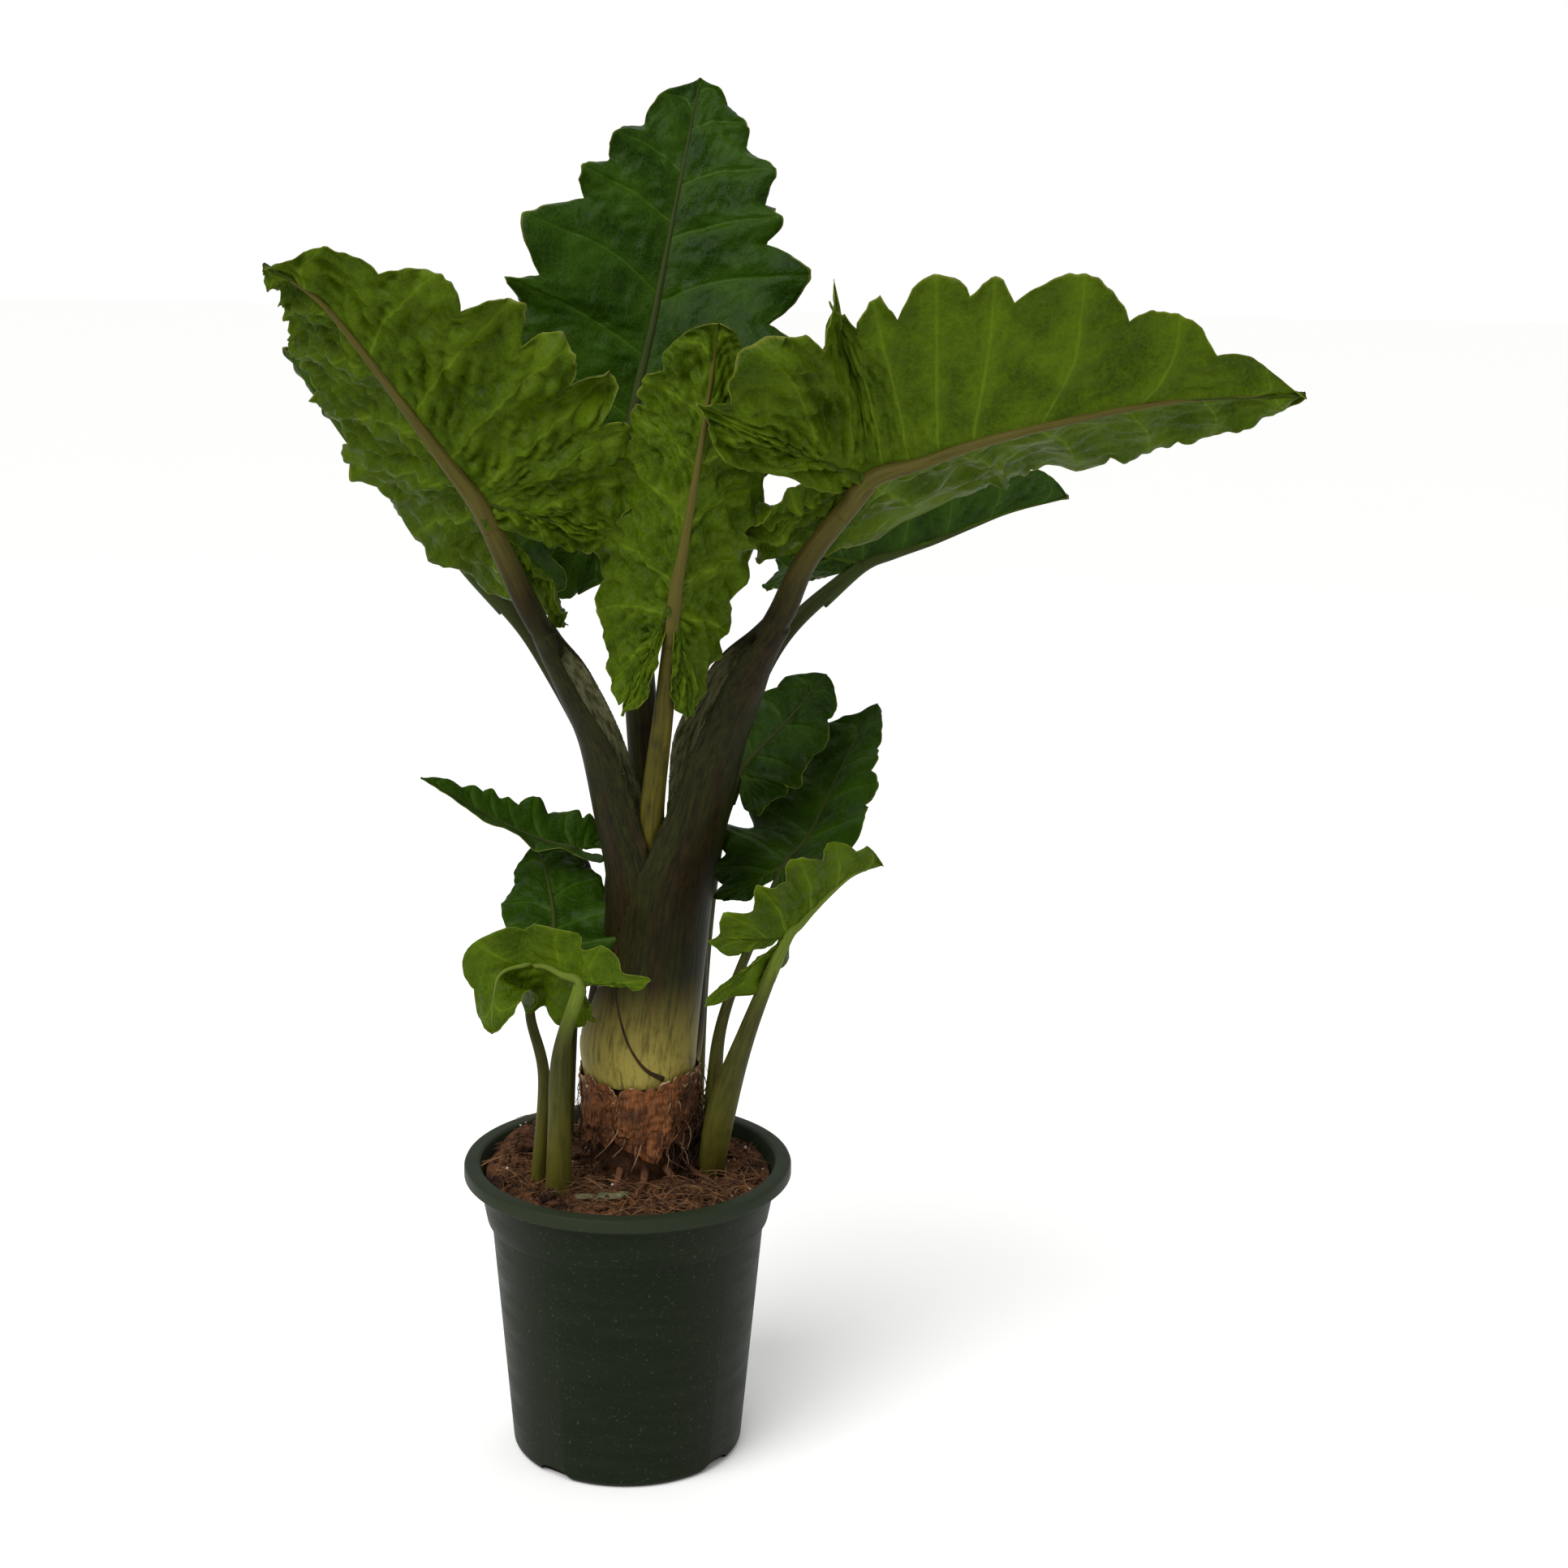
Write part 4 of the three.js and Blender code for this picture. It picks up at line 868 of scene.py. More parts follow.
def blade(name, leaf, cells, look, old):
    """A whole blade: two halves merged along the midrib, and given flesh and raised ribs underneath."""
    halves = [half_blade(f"{name}_{half}", leaf, half, cells, look, old) for half in (0, 1)]
    piece = join(f"leaf_{name}", halves)
    edit(piece, (bpy.ops.mesh.remove_doubles, {"threshold": 3e-5}))
    mesh = piece.data
    vein, lay = (numbers(mesh.attributes[key].data, "vector", np.float32) for key in ("vein", "lay"))
    profile = np.sqrt(np.clip(1 - (vein[:, 2] / 1.1) ** 2, 0, 1))
    thick = look.sheet * (1 - 0.5 * smooth(lay[:, 0] * 1.4 - 0.4)) + lay[:, 1] * 1.6 * profile
    group = piece.vertex_groups.new(name="flesh")
    most = float(thick.max())
    for i, weight in enumerate(thick / most):
        group.add([i], float(weight), "REPLACE")
    flesh = {"vertex_group": "flesh", "material_offset": 1, "use_rim": True}
    modify(piece, "SOLIDIFY", thickness=most, offset=-0.75, **flesh)
    piece.vertex_groups.clear()
    return piece


# ---- Stalks -------------------------------------------------------------------------------------


def along_path(rows, count):
    """Even stations on a stalk's path: centres, radii, two ways to the side, and how far along."""
    at = spline(rows)
    t = np.linspace(0, 1, count)
    rows = at(t)
    tangent = unit(at(t + 1e-3)[:, :3] - at(t - 1e-3)[:, :3])
    side = unit(np.array([1.0, 0, 0]) - tangent[:, :1] * tangent)
    front = np.cross(tangent, side)
    return rows[:, :3], rows[:, 3], side, front, run_of(rows[:, :3])


def sheath_margin(name, pieces, path):
    """The dark dried margin of the outer sheath, lying across the front of the stalks near their foot."""
    trees = [
        BVHTree.FromPolygons([v.co for v in piece.data.vertices], [p.vertices for p in piece.data.polygons])
        for piece in pieces
    ]
    rows = []
    for t in np.linspace(0, 1, 14):
        x, z, radius = spline(path)(t)
        hits = [tree.ray_cast((x / 1000, -0.3, z / 1000), (0, 1, 0))[0] for tree in trees]
        rows.append([x, 1000 * min(hit.y for hit in hits if hit) + 0.25 * radius, z, radius])
    return round_stalk(name, rows, 10, 4, lumps=0.3)


def round_stalk(name, rows, around=28, seed=1, lumps=0.03, ripe=False):
    """A round stalk with slightly uneven sides."""
    along = max(int(np.linalg.norm(np.diff(np.array(rows)[:, :3], axis=0), axis=1).sum() / 5), 8)
    centre, radius, side, front, run = along_path(rows, along + 1)

    def place(u, v):
        i = np.round(v * along).astype(int)
        angle = 2 * np.pi * (u % 1)
        c, s = np.cos(angle), np.sin(angle)
        uneven = 1 + lumps * dents(c * 20 + run[i] * 0.1, s * 20 + run[i] * 0.25, 40, seed)
        x, y = radius[i] * uneven * c, radius[i] * uneven * s
        places = centre[i] + side[i] * x[:, None] + front[i] * y[:, None]
        rind = np.stack([x, y, run[i] + 37 * seed], -1) / 1000
        upper = 0 * u + 1 if ripe else smooth((v - 0.7) / 0.3)
        return places / 1000, {"rind": rind, "hollow": np.stack([0 * u, upper, 0 * u], -1)}

    return skin(name, around, along, place)


def midrib(name, stalk, leaf, seed):
    """The raised midrib that a stalk runs on as, under the blade and out to near its tip."""
    at = spline(leaf["spine"])
    first, joint = np.array(stalk[-2], float), np.array(stalk[-1], float)
    start = mix(first, joint, 0.55)
    rows = [[*start[:3], 0.97 * start[3]]]
    for share in (0, 0.14, 0.3, 0.48, 0.66, 0.84, 0.98):
        t = 0.25 + 0.75 * share
        tangent = unit(at(t + 1e-3) - at(t - 1e-3))
        face = mix(np.array(leaf["face"][0]), np.array(leaf["face"][1]), share)
        normal = unit(face - (face @ tangent) * tangent)
        radius = mix(0.96 * joint[3], 0.7, share**0.6)
        rows.append([*(at(t) - 0.35 * radius * normal), radius])
    return round_stalk(name, rows, 16, seed, ripe=True)


def sheath_wall(name, rows):
    """The curved wall of a sheathing stalk, from a rolled grid: out round the outside and back inside."""
    at = spline(rows)

    def place(u, v):
        x, y, z, radius, thickness, front, back, rear = at(v).T
        ahead = unit(at(v + 0.02)[:, :3] - at(v - 0.02)[:, :3])
        tilt = smooth((z - 600) / 90)[:, None]
        axis = unit(mix(np.array([0, 0, 1.0]), ahead, tilt))
        right = unit(np.array([1.0, 0, 0]) - axis[:, :1] * axis)
        forward = np.cross(axis, right)
        u = u % 1
        t = np.where(u < 0.5, 4 * u - 1, 3 - 4 * u)
        angle = np.radians(np.where(t < 0, mix(back, front, -t), mix(back, rear, t)))
        body = mix(2.4, thickness, np.sqrt(np.clip(1 - t * t, 0, 1)))
        ruffle = 1.1 * np.abs(t) ** 3 * np.sin(z / 17 + 3 * t)
        r = radius + ruffle - np.where(u < 0.5, 0, np.minimum(body, radius - 0.3))
        off = right * (r * np.cos(angle))[:, None] + forward * (r * np.sin(angle))[:, None]
        return (np.stack([x, y, z], -1) + off) / 1000, {}

    return skin(name, *WALL_CELLS, place)


def sheath_stalk(name, parts, leaf, look, seed):
    """A sheathing stalk: wall and neck joined on a fine grid, smoothed, and marked inside and out."""
    wall = sheath_wall(f"{name}_wall", parts["wall"])
    neck = round_stalk(f"{name}_neck", parts["neck"], seed=seed)
    piece = join(f"stalk_{name}", [wall, neck])
    for layer in ("rind", "hollow"):
        piece.data.attributes.remove(piece.data.attributes[layer])
    modify(piece, "REMESH", mode="VOXEL", voxel_size=look.voxel)
    modify(piece, "SMOOTH", factor=0.5, iterations=4)
    mesh = piece.data
    places = numbers(mesh.vertices, "co") * 1000
    path = np.array([row[:4] for row in parts["wall"][:-1]] + [*parts["neck"][2:]], float)
    centre, _, side, front, run = along_path(path, STATIONS)
    # Each vertex goes with the station of the path that it lies level with, found in batches.
    near = np.empty(len(places), int)
    for first in range(0, len(places), BATCH):
        some = places[first : first + BATCH]
        apart = some[:, None] - centre[None]
        ahead = np.abs((apart * np.cross(side, front)[None]).sum(-1))
        near[first : first + BATCH] = (ahead + 0.15 * np.linalg.norm(apart, axis=-1)).argmin(1)
    off = places - centre[near]
    x, y = (off * side[near]).sum(-1), (off * front[near]).sum(-1)
    way = numbers(mesh.vertices, "normal")
    outward = (way * side[near]).sum(-1) * x + (way * front[near]).sum(-1) * y
    inward = -outward / np.maximum(np.hypot(x, y), 1e-6)
    inner = smooth(inward / 0.4 + 0.3) * smooth((700 - places[:, 2]) / 40)
    note(mesh, "rind", np.stack([x, y, run[near] + 41 * seed], -1) / 1000)
    note(mesh, "hollow", np.stack([inner, smooth((near / STATIONS - 0.8) / 0.2), 0 * inner], -1))
    return join(piece.name, [piece, midrib(f"{name}_midrib", parts["neck"], leaf, seed)])


# ---- Mix, corm and pot --------------------------------------------------------------------------


def mix_height(x, y):
    """Height of the mix's heaped top, in millimetres."""
    heaps = (h * np.exp(-((x - x0) ** 2 + (y - y0) ** 2) / r**2) for x0, y0, h, r in MIX_HEAPS)
    return MIX["level"] + sum(heaps)


def collar_levels():
    """Top and foot of the pot's collar, in millimetres."""
    top = POT["height"] - POT["lip_drop"] - POT["lip"]
    return top, top - POT["collar_height"]


def wall_radius(z):
    """Inside radius of the pot at a height, in millimetres."""
    collar = collar_levels()[1]
    if z < collar:
        low, high = POT["foot_radius"], POT["wall_top_radius"]
        share = (z - POT["foot_round"]) / (collar - 4 - POT["foot_round"])
    else:
        low, high = POT["collar_foot_radius"], POT["collar_top_radius"]
        share = (z - collar) / (POT["height"] - POT["lip"] - collar)
    return mix(low, high, share) - POT["wall"]


def mix_body():
    """The body of mix that fills the pot, with a rough heaped top."""
    collar = collar_levels()[1]
    bottom = POT["floor"] + MIX["clearance"]
    side = [(wall_radius(z) - MIX["clearance"] - 0.2, z) for z in (MIX["level"] - 3, collar + 1)]
    side += [(wall_radius(collar - 5) - MIX["clearance"], z) for z in (collar + 0.5, collar - 5)]
    side += [(wall_radius(12) - 1.5, 12), (POT["foot_radius"] - POT["foot_round"] - 4, bottom), (0, bottom)]
    rim = wall_radius(MIX["level"]) - 2.2
    around, rings = MIX_CELLS

    def place(u, v):
        angle = 2 * np.pi * (u % 1)
        i = np.round(v * (rings + len(side))).astype(int)
        r = np.where(i <= rings, rim * i / rings, 0)
        x, y = r * np.cos(angle), r * np.sin(angle)
        z = mix_height(x, y)
        fade = smooth((rim - r) / 6) * smooth(r / 3)
        lumps = 1.5 * dents(x, y, 17, 3) + 1.1 * dents(x, y, 7.5, 4) + 0.8 * np.abs(dents(x, y, 4.5, 5))
        z = z + fade * lumps
        for k, (radius, level) in enumerate(side):
            low = i == rings + 1 + k
            x = np.where(low, radius * np.cos(angle), x)
            y = np.where(low, radius * np.sin(angle), y)
            z = np.where(low, level, z)
        return np.stack([x, y, z], -1) / 1000, {}

    return skin("coir_mix", around, rings + len(side), place)


def corm_body():
    """The lumpy corm under the stalks, ringed by old leaf scars."""
    at = spline(CORM)
    around, rings = CORM_CELLS

    def place(u, v):
        angle = 2 * np.pi * (u % 1)
        i = np.round(v * (rings + 1))
        x, y, z, r = at(np.minimum(i / rings, 1)).T
        r = r + 1.6 * np.sin(3 * angle + 6.5 * v) + 0.9 * np.sin(z / 2.6) + 1.2 * dents(angle * 14, z, 15, 8)
        r = np.where(i > rings, 0, r)
        return np.stack([x + r * np.cos(angle), y + r * np.sin(angle), z], -1) / 1000, {}

    return skin("corm_body", around, rings + 1, place)


def dry_scale(index, start, end, top, radius):
    """A dry scale: wide papery layers with torn margins, wrapped one over the other round the corm."""
    parts = []
    for layer in range(SCALE_LAYERS):
        slip = 9 * math.sin(2.1 * index + 3 * layer)

        def place(u, v):
            a = mix(start - 9 + slip, end + 9 + slip, u)
            edge = np.clip(np.minimum(u, 1 - u) / 0.16, 0, 1) ** 0.5
            middle = top - 14 - 9 * layer
            high = mix(middle, top + 9 - 9 * layer, edge)
            high = high + 2.6 * dents(a, 0 * a, 17, index + 7 * layer)
            high = high + 1.3 * dents(a, 0 * a, 5, index + layer)
            low = mix(middle, top - 31 - 9 * layer, edge)
            low = low + 7.0 * dents(a, 0 * a + 9, 26, index + 3 + layer) + 1.2 * dents(a, 0 * a, 6, layer)
            z = mix(np.maximum(low, 244), high, v)
            r = radius + 3.2 - 1.5 * layer + 0.8 * dents(a, z, 19, index + 20 * layer)
            r = r + 0.7 * dents(a, z * 2, 11, index + layer) + 1.8 * v**6
            a = np.radians(a)
            x, y = CORM[2][0] + r * np.cos(a), CORM[2][1] + r * np.sin(a)
            return np.stack([x, y, z], -1) / 1000, {"torn": np.stack([v, u, 0 * u + layer], -1)}

        part = sheet(f"scale_{index}_{layer}", *SCALE_CELLS, place)
        modify(part, "SOLIDIFY", thickness=PAPER, offset=-1)
        parts.append(part)
    return join(f"papery_scale_{index + 1}", parts)


def root_path(direction, run, turn):
    """A root that leaves the corm and dives into the mix."""
    rows = []
    for t in (0, 0.35, 0.7, 1):
        a = math.radians(direction + turn * t)
        r = 36 + run * t
        x, y = CORM[0][0] + r * math.cos(a), CORM[0][1] + r * math.sin(a)
        z = mix_height(x, y) + (14 if t == 0 else 4 - 5 * t**3)
        rows.append([x, y, z, mix(3.4, 1.6, t)])
    return rows


def flake(name, bit, seed):
    """A curled dry flake or a chip of bark lying on the mix."""
    x0, y0, size, width, thick, turn = bit
    c, s = math.cos(math.radians(turn)), math.sin(math.radians(turn))
    level = mix_height(x0, y0) + 1.6

    def place(u, v):
        t = 2 * v - 1
        half = width / 2 * np.sqrt(1.04 - t * t) * (1 + 0.22 * dents(v * 40, 0 * v, 14, seed))
        a = (2 * u - 1) * half
        b = size / 2 * t + 1.5 * dents(u * 20, 0 * u, 12, seed + 1)
        z = 2.5 * t * t + thick * 0.9 * (2 * u - 1) ** 2 + 0.9 * dents(a, b, 9, seed + 2)
        return np.stack([x0 + b * c - a * s, y0 + b * s + a * c, level + z], -1) / 1000, {}

    piece = sheet(name, *FLAKE_CELLS, place)
    modify(piece, "SOLIDIFY", thickness=(DRY_LEAF if thick < THIN_FLAKE else BARK), offset=0)
    return piece


def turned(z, y, x):
    """Turns about x, then y, then z, in radians."""
    return Matrix.Rotation(z, 4, "Z") @ Matrix.Rotation(y, 4, "Y") @ Matrix.Rotation(x, 4, "X")


def scatter(name, shapes, number, pose, seed):
    """Copies of a few small shapes, each at its own pose, joined into one piece."""
    rng = random.Random(seed)
    copies = []
    for i in range(number):
        copy = shapes[i % len(shapes)].copy()
        copy.data = copy.data.copy()
        copy.matrix_world = pose(rng)
        bpy.context.collection.objects.link(copy)
        copies.append(copy)
    for shape in shapes:
        bpy.data.objects.remove(shape)
    return join(name, copies)


def crumb(name, seed, squash=(1, 1, 1)):
    """A small uneven lump one unit across, of a few dozen faces."""
    piece = added(bpy.ops.mesh.primitive_ico_sphere_add, subdivisions=1, radius=0.5, scale=squash)
    bpy.ops.object.transform_apply(scale=True)
    piece.name = name
    edit(piece, (bpy.ops.transform.vertex_random, {"offset": 0.16, "seed": seed}))
    return piece


def fibre(name, seed):
    """A thin curved coir fibre one unit long."""
    bow = 0.1 + 0.08 * (seed % 3)

    def place(u, v):
        angle = 2 * np.pi * (u % 1)
        r = 0.016 * (1 - 0.6 * v)
        z = bow * np.sin(np.pi * v) + r * np.sin(angle)
        return np.stack([v - 0.5, bow * np.sin(5 * v + seed) * 0.8 + r * np.cos(angle), z], -1), {}

    return skin(name, *FIBRE_CELLS, place)


def on_mix(rng, low, high, lift, tilt=0.5, outer=112, inner=47):
    """A random pose on the mix: size between low and high millimetres, clear of the corm and wall."""
    while True:
        r, a = outer * math.sqrt(rng.random()), rng.uniform(0, 2 * math.pi)
        x, y = r * math.cos(a), r * math.sin(a)
        if math.hypot(x - CORM[0][0], y - CORM[0][1]) > inner:
            break
    z = float(mix_height(x, y)) + lift * rng.uniform(0.2, 1.4)
    size = mix(low, high, rng.random() ** 2) / 1000
    spin = turned(rng.uniform(0, WAVE), rng.gauss(0, tilt), rng.gauss(0, tilt))
    return Matrix.Translation((x / 1000, y / 1000, z / 1000)) @ spin @ Matrix.Scale(size, 4)


def pot_body(look):
    """The pot as one closed wall: a foot disc, then ring after ring extruded, lifted and sized up the
    outside, over the lip and down the inside to its floor. Drain notches are cut through the foot."""
    p = POT
    top, collar = collar_levels()
    height, rim, lip, wall = p["height"], p["rim_radius"], p["lip"], p["wall"]
    high, low, neck = p["collar_top_radius"], p["collar_foot_radius"], p["wall_top_radius"]
    foot = [
        (p["foot_radius"] - p["foot_round"] * (1 - math.sin(a)), p["foot_round"] * (1 - math.cos(a)))
        for a in (math.pi / 2 * i / 6 for i in range(7))
    ]
    rings = foot + [
        (neck, collar - 3),
        (neck + 1.2, collar - 1.4),
        (low, collar),
        (low + 0.5, collar + 1.4),
        (high, top),
        (high + 4, height - wall - 1),
        (rim - wall, height - wall - 2),
        (rim - wall, height - p["lip_drop"]),
        (rim - 0.5, height - p["lip_drop"]),
        (rim, height - p["lip_drop"] + 0.6),
        (rim, height - lip),
        (rim - 0.9, height - 0.9),
        (rim - lip, height),
        (high + 1, height),
        (high - 1, height - 1),
        (high - wall, height - lip),
        (low - wall, collar),
        (neck - wall, collar - 4),
        (p["foot_radius"] - wall, p["foot_round"]),
        (p["foot_radius"] - p["foot_round"], p["floor"]),
    ]
    circle = {"vertices": look.sides, "radius": rings[0][0] / 1000, "fill_type": "NGON"}
    piece = added(bpy.ops.mesh.primitive_circle_add, **circle)
    bpy.ops.object.mode_set(mode="EDIT")
    bpy.ops.mesh.select_all(action="SELECT")
    for (r0, z0), (r1, z1) in zip(rings, rings[1:]):
        bpy.ops.mesh.extrude_region_move(TRANSFORM_OT_translate={"value": (0, 0, (z1 - z0) / 1000)})
        if r1 != r0:
            bpy.ops.transform.resize(value=(r1 / r0, r1 / r0, 1), center_override=(0, 0, z1 / 1000))
    bpy.ops.mesh.select_all(action="SELECT")
    bpy.ops.mesh.normals_make_consistent(inside=False)
    bpy.ops.object.mode_set(mode="OBJECT")
    for i in range(DRAIN["count"]):
        turn = math.radians(DRAIN["first"] - 90 + 360 / DRAIN["count"] * i)
        reach = (p["foot_radius"] - 1) / 1000
        cutter = added(
            bpy.ops.mesh.primitive_cylinder_add,
            vertices=40,
            radius=1,
            depth=0.016,
            location=(reach * math.cos(turn), reach * math.sin(turn), 0),
            rotation=(math.pi / 2, 0, turn + math.pi / 2),
        )
        cutter.scale = (DRAIN["width"] / 2000, DRAIN["height"] / 1000, 1)
        bpy.context.view_layer.update()
        modify(piece, "BOOLEAN", object=cutter, operation="DIFFERENCE", solver="EXACT")
        bpy.data.objects.remove(cutter)
    modify(piece, "BEVEL", width=0.0004, segments=2, limit_method="ANGLE", angle_limit=math.radians(28))
    piece.name = piece.data.name = "moulded_pot"
    return piece


# ---- Operators ----------------------------------------------------------------------------------

# Heights between which the pale foot of a stalk fades out, in metres: plain stalks and sheaths.
FOOT_FADE, SHEATH_FADE = (0.25, 0.36), (0.325, 0.42)
# Skins of a blade: the share of its side veins, roughness, light let through and brown spots.
LEAF_SKINS = {
    "old_face": (0.4, 0.34, 0.12, 0.25),
    "old_back": (0.6, 0.5, 0.12, 0.25),
    "young_face": (0.4, 0.38, 0.25, 0.1),
    "young_back": (0.6, 0.44, 0.25, 0.1),
}


def add_blades(leaves, cells, look):
    """Adds blades, and gives the older ones a darker, glossier skin."""
    for name in leaves:
        age = "old" if name in OLD_LEAVES else "young"
        skins = []
        for side in ("face", "back"):
            key = f"{age}_{side}"
            colours = (getattr(look, one) for one in (key, f"{key}_light", f"rib_{side}"))
            skins.append(leaf_material(f"{age}_leaf_{side}", *colours, *LEAF_SKINS[key]))
        piece = blade(name, leaves[name], cells, look, age == "old")
        finish(piece, f"{age}_leaf", skins, f"blade_{name}")


class ALOCASIA_OT_big_leaves(bpy.types.Operator):
    """Model the six big blades on the main stem"""

    bl_idname = "alocasia.big_leaves"
    bl_label = "Big Leaves"

    def execute(self, context):
        add_blades(BIG_LEAVES, BIG_CELLS, context.scene.alocasia_leaf)
        return {"FINISHED"}


class ALOCASIA_OT_small_leaves(bpy.types.Operator):
    """Model the six small blades on the two side shoots"""

    bl_idname = "alocasia.small_leaves"
    bl_label = "Small Leaves"

    def execute(self, context):
        add_blades(SMALL_LEAVES, SMALL_CELLS, context.scene.alocasia_leaf)
        return {"FINISHED"}


class ALOCASIA_OT_stalks(bpy.types.Operator):
    """Model the plain round leaf stalks"""

    bl_idname = "alocasia.stalks"
    bl_label = "Round Stalks"

    def execute(self, context):
        look = context.scene.alocasia_stalk
        for seed, (name, rows) in enumerate(ROUND_STALKS.items()):
            old, shoot, core = name in OLD_LEAVES, name in SMALL_LEAVES, name == "centre"
            kind = "shoot" if shoot else "core" if core else "stalk"
            ground = look.shoot_ground if shoot else look.core
            flesh = stalk_material(
                f"fleshy_{'old' if old else 'young'}_{kind}",
                look.shoot_dark if shoot or core else look.dark,
                ground if shoot or core else look.olive,
                ground if shoot or core else look.brown,
                look.inside,
                look.shoot if shoot else look.pale,
                look.old_rib if old else look.shoot_rib if shoot else look.ripe,
                *FOOT_FADE,
            )
            blade_of = (SMALL_LEAVES if shoot else BIG_LEAVES)[name]
            stalk = round_stalk(f"{name}_stalk", rows, seed=seed + 3)
            rib = midrib(f"{name}_midrib", rows, blade_of, seed + 3)
            finish(join(f"stalk_{name}", [stalk, rib]), "stalk", [flesh], f"petiole_{name}")
        return {"FINISHED"}


class ALOCASIA_OT_sheaths(bpy.types.Operator):
    """Model the two sheathing stalks that clasp the stem"""

    bl_idname = "alocasia.sheaths"
    bl_label = "Sheathing Stalks"

    def execute(self, context):
        look = context.scene.alocasia_stalk
        colours = (look.dark, look.olive, look.brown, look.inside, look.pale, look.ripe)
        flesh = stalk_material("fleshy_sheath", *colours, *SHEATH_FADE)
        pieces = []
        for seed, (name, parts) in enumerate(SHEATHS.items()):
            piece = sheath_stalk(name, parts, BIG_LEAVES[name], look, seed + 1)
            finish(piece, "stalk", [flesh], f"petiole_{name}")
            pieces.append(piece)
        browns = (linear("#120a04"), linear("#3a260f"))
        dried = rough_material("dried_margin", *browns, 0.006, roughness=0.7, depth=0.0004)
        finish(sheath_margin("sheath_margin", pieces, DRIED_MARGIN), "stalk", [dried])
        return {"FINISHED"}


class ALOCASIA_OT_corm(bpy.types.Operator):
    """Model the corm with its dry scales and its roots"""

    bl_idname = "alocasia.corm"
    bl_label = "Corm, Scales and Roots"

    def execute(self, context):
        look = context.scene.alocasia_corm
        bark = rough_material("corm_bark", look.bark, linear("#4d3018"), 0.006, (1, 1, 1.8), depth=0.002)
        finish(corm_body(), "corm", [bark], "corm")
        paper = scale_material("dry_papery_scale", look)
        for i, sizes in enumerate(DRY_SCALES):
            finish(dry_scale(i, *sizes), "dry_scale", [paper], f"dry_scale_{i + 1}")
        root = rough_material("root_skin", linear("#3d2417"), look.root, 0.003, roughness=0.7, depth=0.0006)
        for i, path in enumerate(ROOTS):
            piece = round_stalk(f"thick_root_{i + 1}", root_path(*path), 14, i, 0.12)
            finish(piece, "corm", [root], f"root_{i + 1}")
        centre_x, centre_y = CORM[2][0] / 1000, CORM[2][1] / 1000

        def on_corm(a, r, z):
            return Matrix.Translation((centre_x + r * math.cos(a), centre_y + r * math.sin(a), z))

        def upright(rng):
            """A tuft fibre: near upright, most often at the right side of the corm."""
            a = math.radians(rng.uniform(-50, 30) if rng.random() < 0.4 else rng.uniform(0, 360))
            place = on_corm(a, rng.uniform(44, 49) / 1000, rng.uniform(0.248, 0.312))
            spin = turned(a, math.radians(rng.gauss(-88, 14)), rng.uniform(0, WAVE))
            return place @ spin @ Matrix.Scale(rng.uniform(0.018, 0.045), 4)

        def hanging(rng):
            """A young root: out of the front of the corm and down."""
            a, size = math.radians(rng.uniform(-165, -15)), rng.uniform(0.022, 0.05)
            place = on_corm(a, 0.047, rng.uniform(0.262, 0.29))
            spin = turned(a, math.radians(rng.gauss(66, 14)), rng.uniform(0, WAVE))
            return place @ spin @ Matrix.Scale(size, 4)

        tuft = scatter("corm_fibres", [fibre(f"tuft_{i}", i) for i in range(3)], look.tuft, upright, 5)
        browns = (linear("#160c06"), linear("#4a2e18"))
        finish(tuft, "corm", [rough_material("corm_fibre", *browns, 0.008, roughness=0.8, depth=0.0003)])
        shapes = [fibre(f"young_root_{i}", i) for i in range(3)]
        young = scatter("young_roots", shapes, look.young_roots, hanging, 6)
        browns = (linear("#4a3325"), linear("#9c7c60"))
        finish(young, "corm", [rough_material("young_root", *browns, 0.006, roughness=0.6, depth=0.0003)])
        return {"FINISHED"}


class ALOCASIA_OT_mix(bpy.types.Operator):
    """Model the coir potting mix with its crumbs, fibres, chunks and flecks"""

    bl_idname = "alocasia.mix"
    bl_label = "Potting Mix"

    def execute(self, context):
        look = context.scene.alocasia_mix
        coir = rough_material("damp_coir", look.coir_dark, look.coir, 0.0045, roughness=0.92, depth=0.003)
        finish(mix_body(), "mix", [coir], "potting_mix")
        strand = (linear("#2e1a10"), look.fibre)
        strand = rough_material("coir_fibre", *strand, 0.012, roughness=0.85, depth=0.0003)
        bark = (linear("#160b05"), linear("#573820"))
        bark = rough_material("wet_bark", *bark, 0.004, (1, 3, 1), depth=0.001)
        white = rough_material("perlite", linear("#8f8778"), look.fleck, 0.001, depth=0.0003)

        def strew(name, shapes, number, substance, seed, *lie):
            """Strews copies of the shapes on the mix, lying as on_mix takes it."""
            piece = scatter(name, shapes, number, lambda rng: on_mix(rng, *lie), seed)
            finish(piece, "mix", [substance])

        crumbs = [crumb(f"crumb_{i}", i, (1, 0.8, 0.7)) for i in range(4)]
        strew("mix_crumbs", crumbs, look.crumbs, coir, 11, 1.6, 7, 1.6)
        fibres = [fibre(f"fibre_{i}", i) for i in range(5)]
        strew("mix_fibres", fibres, look.fibres, strand, 12, 9, 42, 3, 0.16, 108)
        chunks = [crumb(f"chunk_{i}", i + 9, (1, 0.62, 0.36)) for i in range(4)]
        strew("bark_chunks", chunks, look.chunks, bark, 13, 6, 17, 2.2, 0.35, 106)
        flecks = [crumb(f"fleck_{i}", i + 20) for i in range(3)]
        strew("perlite_flecks", flecks, look.flecks, white, 14, 1.0, 3.2, 3.0)
        return {"FINISHED"}


